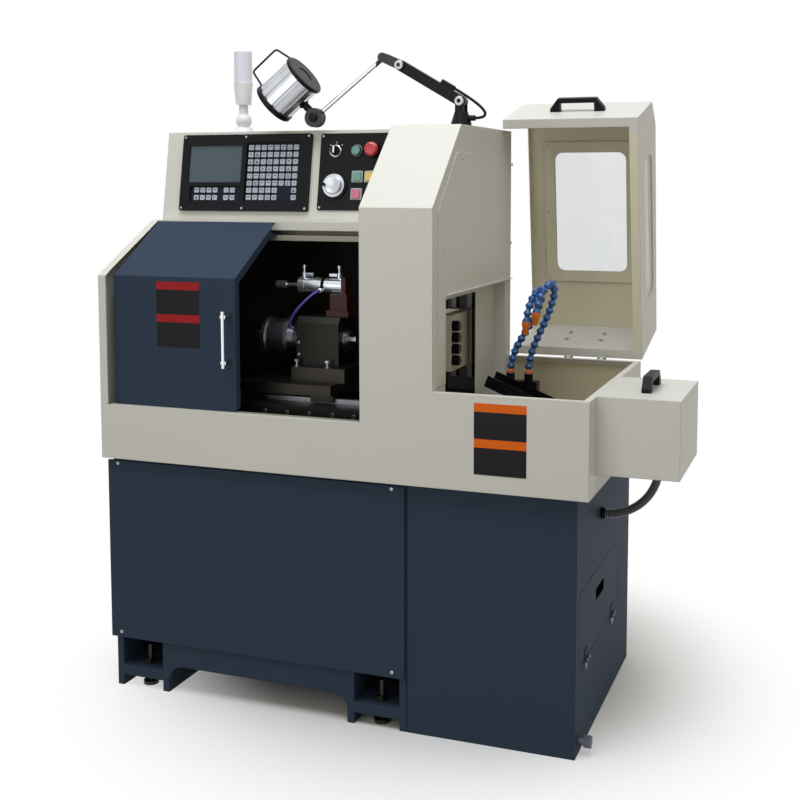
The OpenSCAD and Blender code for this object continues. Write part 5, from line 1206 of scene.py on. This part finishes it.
class LATHE_OT_conduit(bpy.types.Operator):
    """Makes the corrugated conduit between the cabinet and the motor cover"""

    bl_idname = "lathe.conduit"
    bl_label = "Conduit"

    def execute(self, context):
        centre = CONDUIT_LOW + CONDUIT_BEND
        path = [
            shop(CONDUIT_START + CONDUIT_BEND * math.sin(a), CONDUIT_Y,
                 centre - CONDUIT_BEND * math.cos(a))
            for a in (math.pi / 2 * i / CONDUIT_STEPS for i in range(CONDUIT_STEPS + 1))
        ]
        path.append(shop(CONDUIT_START + CONDUIT_BEND, CONDUIT_Y, CONDUIT_TOP))
        r, pitch = sizes().conduit_d / MM / 2, sizes().ring_pitch
        ring = turned_part("conduit_ring", CONDUIT_RING, 20, r, pitch / MM)
        # The rings' light grey is a painted highlight.
        tube = chain("corrugated_conduit", ring, path, pitch, 1, "Grey polyamide conduit")
        settle(tube, "machine", "black_plastic", "conduit")
        with piece("conduit_core", ["Black ABS moulding"], "machine", "black_plastic") as bm:
            add_tube(bm, path, CORE_SHARE * r, 20)
        return {"FINISHED"}


# Lamp

HALF, HEAD_R = HEAD_LEN / 2, HEAD_D / 2
RING_FRONT, RING_REAR, RING_OVER = 16, 12, 4
RING_R, GLASS_R = HEAD_R + RING_OVER, HEAD_R - RING_OVER
FRONT_RING = (
    (GLASS_R, 0), (RING_R - 2, 0), (RING_R, 2), (RING_R, RING_FRONT - 2), (RING_R - 2, RING_FRONT),
    (GLASS_R, RING_FRONT), (GLASS_R, 0))
REAR_CAP = (
    (0, 0), (RING_R - 2, 0), (RING_R, 2), (RING_R, RING_REAR - 3), (RING_R - 3, RING_REAR),
    (HEAD_R * 0.4, RING_REAR), (HEAD_R * 0.4, RING_REAR - 2), (0, RING_REAR - 2))
GLASS = ((0, 9), (GLASS_R - 0.5, 9), (GLASS_R - 0.5, 12), (0, 12))
REFLECTOR = (
    (GLASS_R - 2, 18), (26, 74), (0, 76), (0, 77.5), (27, 75.5), (GLASS_R - 1, 18),
    (GLASS_R - 2, 18))
FLUTE_DEEP, FLUTE_WALL, FLUTE_SHARES = 4, 4, (
    (0.0, 0), (0.3, 0), (0.6, 0), (0.66, 1), (0.94, 1))
BAIL_OUT, BAIL_FRONT_IN, BAIL_REAR_IN, BAIL_BEND, BAIL_STEPS = 118, 12, 26, 9, 5
BAIL = [Vector(corner) for corner in (
    (-HALF + RING_FRONT / 2, HEAD_R), (-HALF + BAIL_FRONT_IN, BAIL_OUT),
    (HALF - BAIL_REAR_IN, BAIL_OUT), (HALF - RING_REAR / 2, HEAD_R))]
DISC_R, DISC_T, DISC_GAP, STUB_R, STUB_FROM, CAP_R, CAP_T = 28, 15, 0.15, 11, 10, 13, 6
DISC = ((0, 0), (DISC_R - 2, 0), (DISC_R, 2), (DISC_R, DISC_T - 3), (DISC_R - 5, DISC_T),
        (0, DISC_T))
PIN = ((0, 0), (5, 0), (5, DISC_T + 1), (CAP_R, DISC_T + 1), (CAP_R, DISC_T + 5),
       (CAP_R - 2, DISC_T + 7), (0, DISC_T + 7))
STUB_REACH = HEAD_FROM.length - HEAD_R
STUB_PROFILE = (
    (0, 0), (STUB_R, 0), (STUB_R, STUB_REACH - 14), (STUB_R + 5, STUB_REACH - 10),
    (STUB_R + 5, STUB_REACH - 6), (0, STUB_REACH - 6))
CAP = ((0, 0.1), (CAP_R + 0.6, 0.1), (CAP_R + 0.6, CAP_T - 1), (CAP_R - 1.4, CAP_T + 0.8),
       (6, CAP_T + 0.8), (6, CAP_T - 2), (0, CAP_T - 2))
ARM_T, EAR_T = 24, 5
EAR_OUT = ARM_T / 2 + SOFT_GAP + EAR_T
CLIP_FROM, CLIP_OUT, CABLE_LOOP, CABLE_R, CABLE_STEPS = 35.7, 21, 70, 4, 40
CABLE_END = Vector((82, 1645))


class LATHE_OT_lamp(bpy.types.Operator):
    """Makes the lamp's fluted head, rings, bail, glass, knuckle and bolt caps"""

    bl_idname = "lathe.lamp"
    bl_label = "Work lamp"

    def execute(self, context):
        self.head()
        with piece("lamp_rings_and_bail", ["Black stove enamel"], "lamp_end", "black_paint",
                   "lamp_trim") as bm:
            add_turned(bm, FRONT_RING, on_head(-HALF), HEAD_WAY, 64)
            add_turned(bm, REAR_CAP, on_head(HALF - RING_REAR), HEAD_WAY, 64)
            self.bail(bm)
            self.knuckle(bm)
        for name, profile, finish_name, slot in (
            ("lamp_glass", GLASS, "Lamp glass", "clear_pane"),
            ("lamp_reflector", REFLECTOR, "Turned aluminium", "aluminium"),
        ):
            with piece(name, [finish_name], "lamp_end", slot) as bm:
                add_turned(bm, profile, on_head(-HALF), HEAD_WAY, 48)
        self.caps()
        self.cable()
        return {"FINISHED"}

    def head(self):
        """The head's extrusion: broad lands between shallow flutes, open at both ends."""
        flutes = sizes().head_flutes
        outline = []
        for i in range(flutes):
            for share, sunk in FLUTE_SHARES:
                a, r = math.tau * (i + share) / flutes, HEAD_R - FLUTE_DEEP * sunk
                outline.append((r * math.cos(a), r * math.sin(a)))
        inner = circle(len(outline), HEAD_R - FLUTE_DEEP - FLUTE_WALL)
        with piece("lamp_head_extrusion", ["Brushed aluminium"], "lamp_end", "aluminium",
                   "lamp_head") as bm:
            add_band(bm, outline, inner, on_head(0), axes_on(HEAD_WAY, -FRONT),
                     -HALF + RING_FRONT, HALF - RING_REAR)

    def bail(self, bm):
        """The bent wire from the front ring to the rear ring."""
        path = BAIL[:1]
        for last, here, following in zip(BAIL, BAIL[1:], BAIL[2:]):
            before, after = (
                here + (corner - here).normalized() * BAIL_BEND for corner in (last, following))
            for k in range(BAIL_STEPS + 1):
                t = k / BAIL_STEPS
                path.append(before * (1 - t) ** 2 + here * 2 * t * (1 - t) + after * t * t)
        path += BAIL[-1:]
        add_tube(bm, [on_head(p.x, p.y) for p in path], sizes().bail_d / MM / 2, 12)

    def knuckle(self, bm):
        """The friction disc, its pin and the stub that carries the head."""
        add_turned(bm, DISC, at_lamp(KNUCKLE, DISC_GAP), -FRONT, 48)
        add_turned(bm, PIN, at_lamp(KNUCKLE, DISC_GAP), FRONT, 32)
        way = HEAD_FROM.normalized()
        start = at_lamp(KNUCKLE + way * STUB_FROM, STUB_R + SOFT_GAP)
        add_turned(bm, STUB_PROFILE, start, Vector((way.x, 0, way.y)), 32)

    def caps(self):
        """Plated caps on the pins of the shoulder and the elbow."""
        for name, place, body in (
            ("shoulder_caps", SHOULDER, "lamp_turret"), ("elbow_caps", ELBOW, "lamp_boom"),
        ):
            with piece(name, ["Zinc-plated steel"], body, "zinc_steel") as bm:
                for facing, y in ((FRONT, -EAR_OUT), (-FRONT, EAR_OUT)):
                    add_turned(bm, CAP, at_lamp(place, y), facing, 32)

    def cable(self):
        """The cable from the arm's clip to the base's gland."""
        along, across = heading(ARM_DEG), heading(ARM_DEG - 90)
        clip = SHOULDER + along * CLIP_FROM + across * CLIP_OUT
        route = [clip, clip - along * CABLE_LOOP, CABLE_END + Vector((CABLE_LOOP, 0)), CABLE_END]
        bm = bmesh.new()
        add_tube(bm, [at_lamp(p) for p in smooth(route, CABLE_STEPS)], CABLE_R)
        loop = new_object("lamp_cable_loop", bm, ["Black ABS moulding"])
        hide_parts("lamp_cable")
        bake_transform(loop)


# Finishes, stage and order of work


class LATHE_OT_finishes(bpy.types.Operator):
    """Makes the finishes and paints every part of the frame"""

    bl_idname = "lathe.finishes"
    bl_label = "Finishes"

    def execute(self, context):
        make_finishes()
        for key, nodes in NODE_FINISHES.items():
            for node in nodes:
                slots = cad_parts[node].material_slots
                if len(slots) == 0:
                    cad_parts[node].data.materials.append(FINISHES[key])
                for slot in slots:
                    slot.material = FINISHES[key]
        return {"FINISHED"}


AMBIENT = 0.34
WARM, COOL, WHITE = (1.0, 0.93, 0.75), (0.89, 0.92, 1.0), (1.0, 1.0, 1.0)
FLOOR_SEEN, FLOOR_BOUNCE, FLOOR_HALF = 0.94, 0.4, 9
SHADOW_START, SHADOW_END = 0.45, 1.15
SEEN_RAYS = ("Is Camera Ray", "Is Glossy Ray", "Is Transmission Ray")
LIGHTS = (
    ("key", (0.0, -1.2, 4.4), (0, -0.1, 0.9), 3.0, 112, COOL),
    ("front", (-1.2, -4.6, 1.6), (0, 0, 0.8), 3.0, 27, WHITE),
    ("right", (2.6, -0.8, 3.5), (0.2, 0, 1.4), 1.6, 4, WHITE),
)
CAMERA_PLACE = (1.2077, -3.3236, 1.4612)
CAMERA_TURN = (85, 0, 20.16)
CAMERA_LENS, SENSOR_W = 53.39, 36
CAMERA_SHIFT = (-0.0289, -0.14)


def area_light(name, place, target, size, watts, colour):
    """A square soft box that faces its target."""
    light = bpy.data.lights.new(name, "AREA")
    light.shape = "SQUARE"
    light.size = size
    light.energy = watts
    light.color = colour
    obj = link(name, light)
    obj.location = place
    obj.rotation_mode = "QUATERNION"
    obj.rotation_quaternion = (Vector(target) - Vector(place)).to_track_quat("-Z", "Y")


def seen_directly(tree):
    """A share that is 1 for rays that show the background itself."""
    rays = add(tree, "ShaderNodeLightPath").outputs
    camera, glossy, through = (rays[name] for name in SEEN_RAYS)
    return reckon(tree, "MAXIMUM", reckon(tree, "MAXIMUM", camera, glossy), through)


def studio_world():
    """White where it is seen, and a soft even light elsewhere."""
    world = bpy.data.worlds.new("Studio")
    world.use_nodes = True
    tree = world.node_tree
    seen = seen_directly(tree)
    feed(tree.nodes["Background"], "Color", blend_colour(tree, seen, WARM, WHITE))
    feed(tree.nodes["Background"], "Strength", span(tree, seen, AMBIENT, 1.0))
    bpy.context.scene.world = world


def pale_floor():
    """A pale floor that takes the shadow near the machine and runs out to white."""
    shader = finish("Pale studio floor", roughness=0.7)
    tree = shader.id_data
    seen = seen_directly(tree)
    feed(shader, "Base Color", span(tree, seen, FLOOR_BOUNCE, FLOOR_SEEN))
    away = reckon_vector(tree, "LENGTH", object_place(tree))
    far = span(tree, away, 0.0, 1.0, SHADOW_START, SHADOW_END, interpolation_type="SMOOTHSTEP")
    white = add(tree, "ShaderNodeEmission", {"Color": (*WHITE, 1), "Strength": 1.0})
    mix = add(tree, "ShaderNodeMixShader", {
        0: reckon(tree, "MULTIPLY", far, seen),
        1: shader.outputs["BSDF"], 2: white.outputs["Emission"]})
    feed(tree.nodes["Material Output"], "Surface", mix.outputs["Shader"])
    bm = bmesh.new()
    bmesh.ops.create_grid(bm, x_segments=1, y_segments=1, size=FLOOR_HALF)
    floor = new_object("floor", bm, ["Pale studio floor"])


class LATHE_OT_stage(bpy.types.Operator):
    """Sets the floor, the lights, the world and the camera"""

    bl_idname = "lathe.stage"
    bl_label = "Stage"

    def execute(self, context):
        pale_floor()
        studio_world()
        for light in LIGHTS:
            area_light(*light)
        data = bpy.data.cameras.new("camera")
        data.sensor_width = SENSOR_W
        data.lens = CAMERA_LENS
        data.shift_x, data.shift_y = CAMERA_SHIFT
        camera = link("camera", data)
        camera.location = CAMERA_PLACE
        camera.rotation_euler = [math.radians(a) for a in CAMERA_TURN]
        context.scene.camera = camera
        context.scene.view_settings.view_transform = "Standard"
        return {"FINISHED"}


class LATHE_PT_panel(bpy.types.Panel):
    """Lists the steps and the values of the lathe's dressing"""

    bl_idname = "LATHE_PT_panel"
    bl_label = "Turning lathe"
    bl_space_type = "VIEW_3D"
    bl_region_type = "UI"
    bl_category = "Lathe"

    def draw(self, context):
        for step in STEPS:
            self.layout.operator(step.bl_idname)
        for group in (context.scene.lathe_sizes, context.scene.lathe_colours):
            for name in type(group).__annotations__:
                self.layout.prop(group, name)


STEPS = (
    LATHE_OT_finishes, LATHE_OT_stage, LATHE_OT_fasteners, LATHE_OT_keypad, LATHE_OT_controls,
    LATHE_OT_plates, LATHE_OT_hoses, LATHE_OT_conduit, LATHE_OT_lamp,
)
CLASSES = (LatheColours, LatheSizes, *STEPS, LATHE_PT_panel)


def register():
    for cls in CLASSES:
        bpy.utils.register_class(cls)
    bpy.types.Scene.lathe_colours = PointerProperty(type=LatheColours)
    bpy.types.Scene.lathe_sizes = PointerProperty(type=LatheSizes)


def unregister():
    del bpy.types.Scene.lathe_sizes
    del bpy.types.Scene.lathe_colours
    for cls in reversed(CLASSES):
        bpy.utils.unregister_class(cls)


def main():
    register()
    for step in STEPS:
        group, name = step.bl_idname.split(".")
        getattr(getattr(bpy.ops, group), name)()


if __name__ == "__main__":
    main()
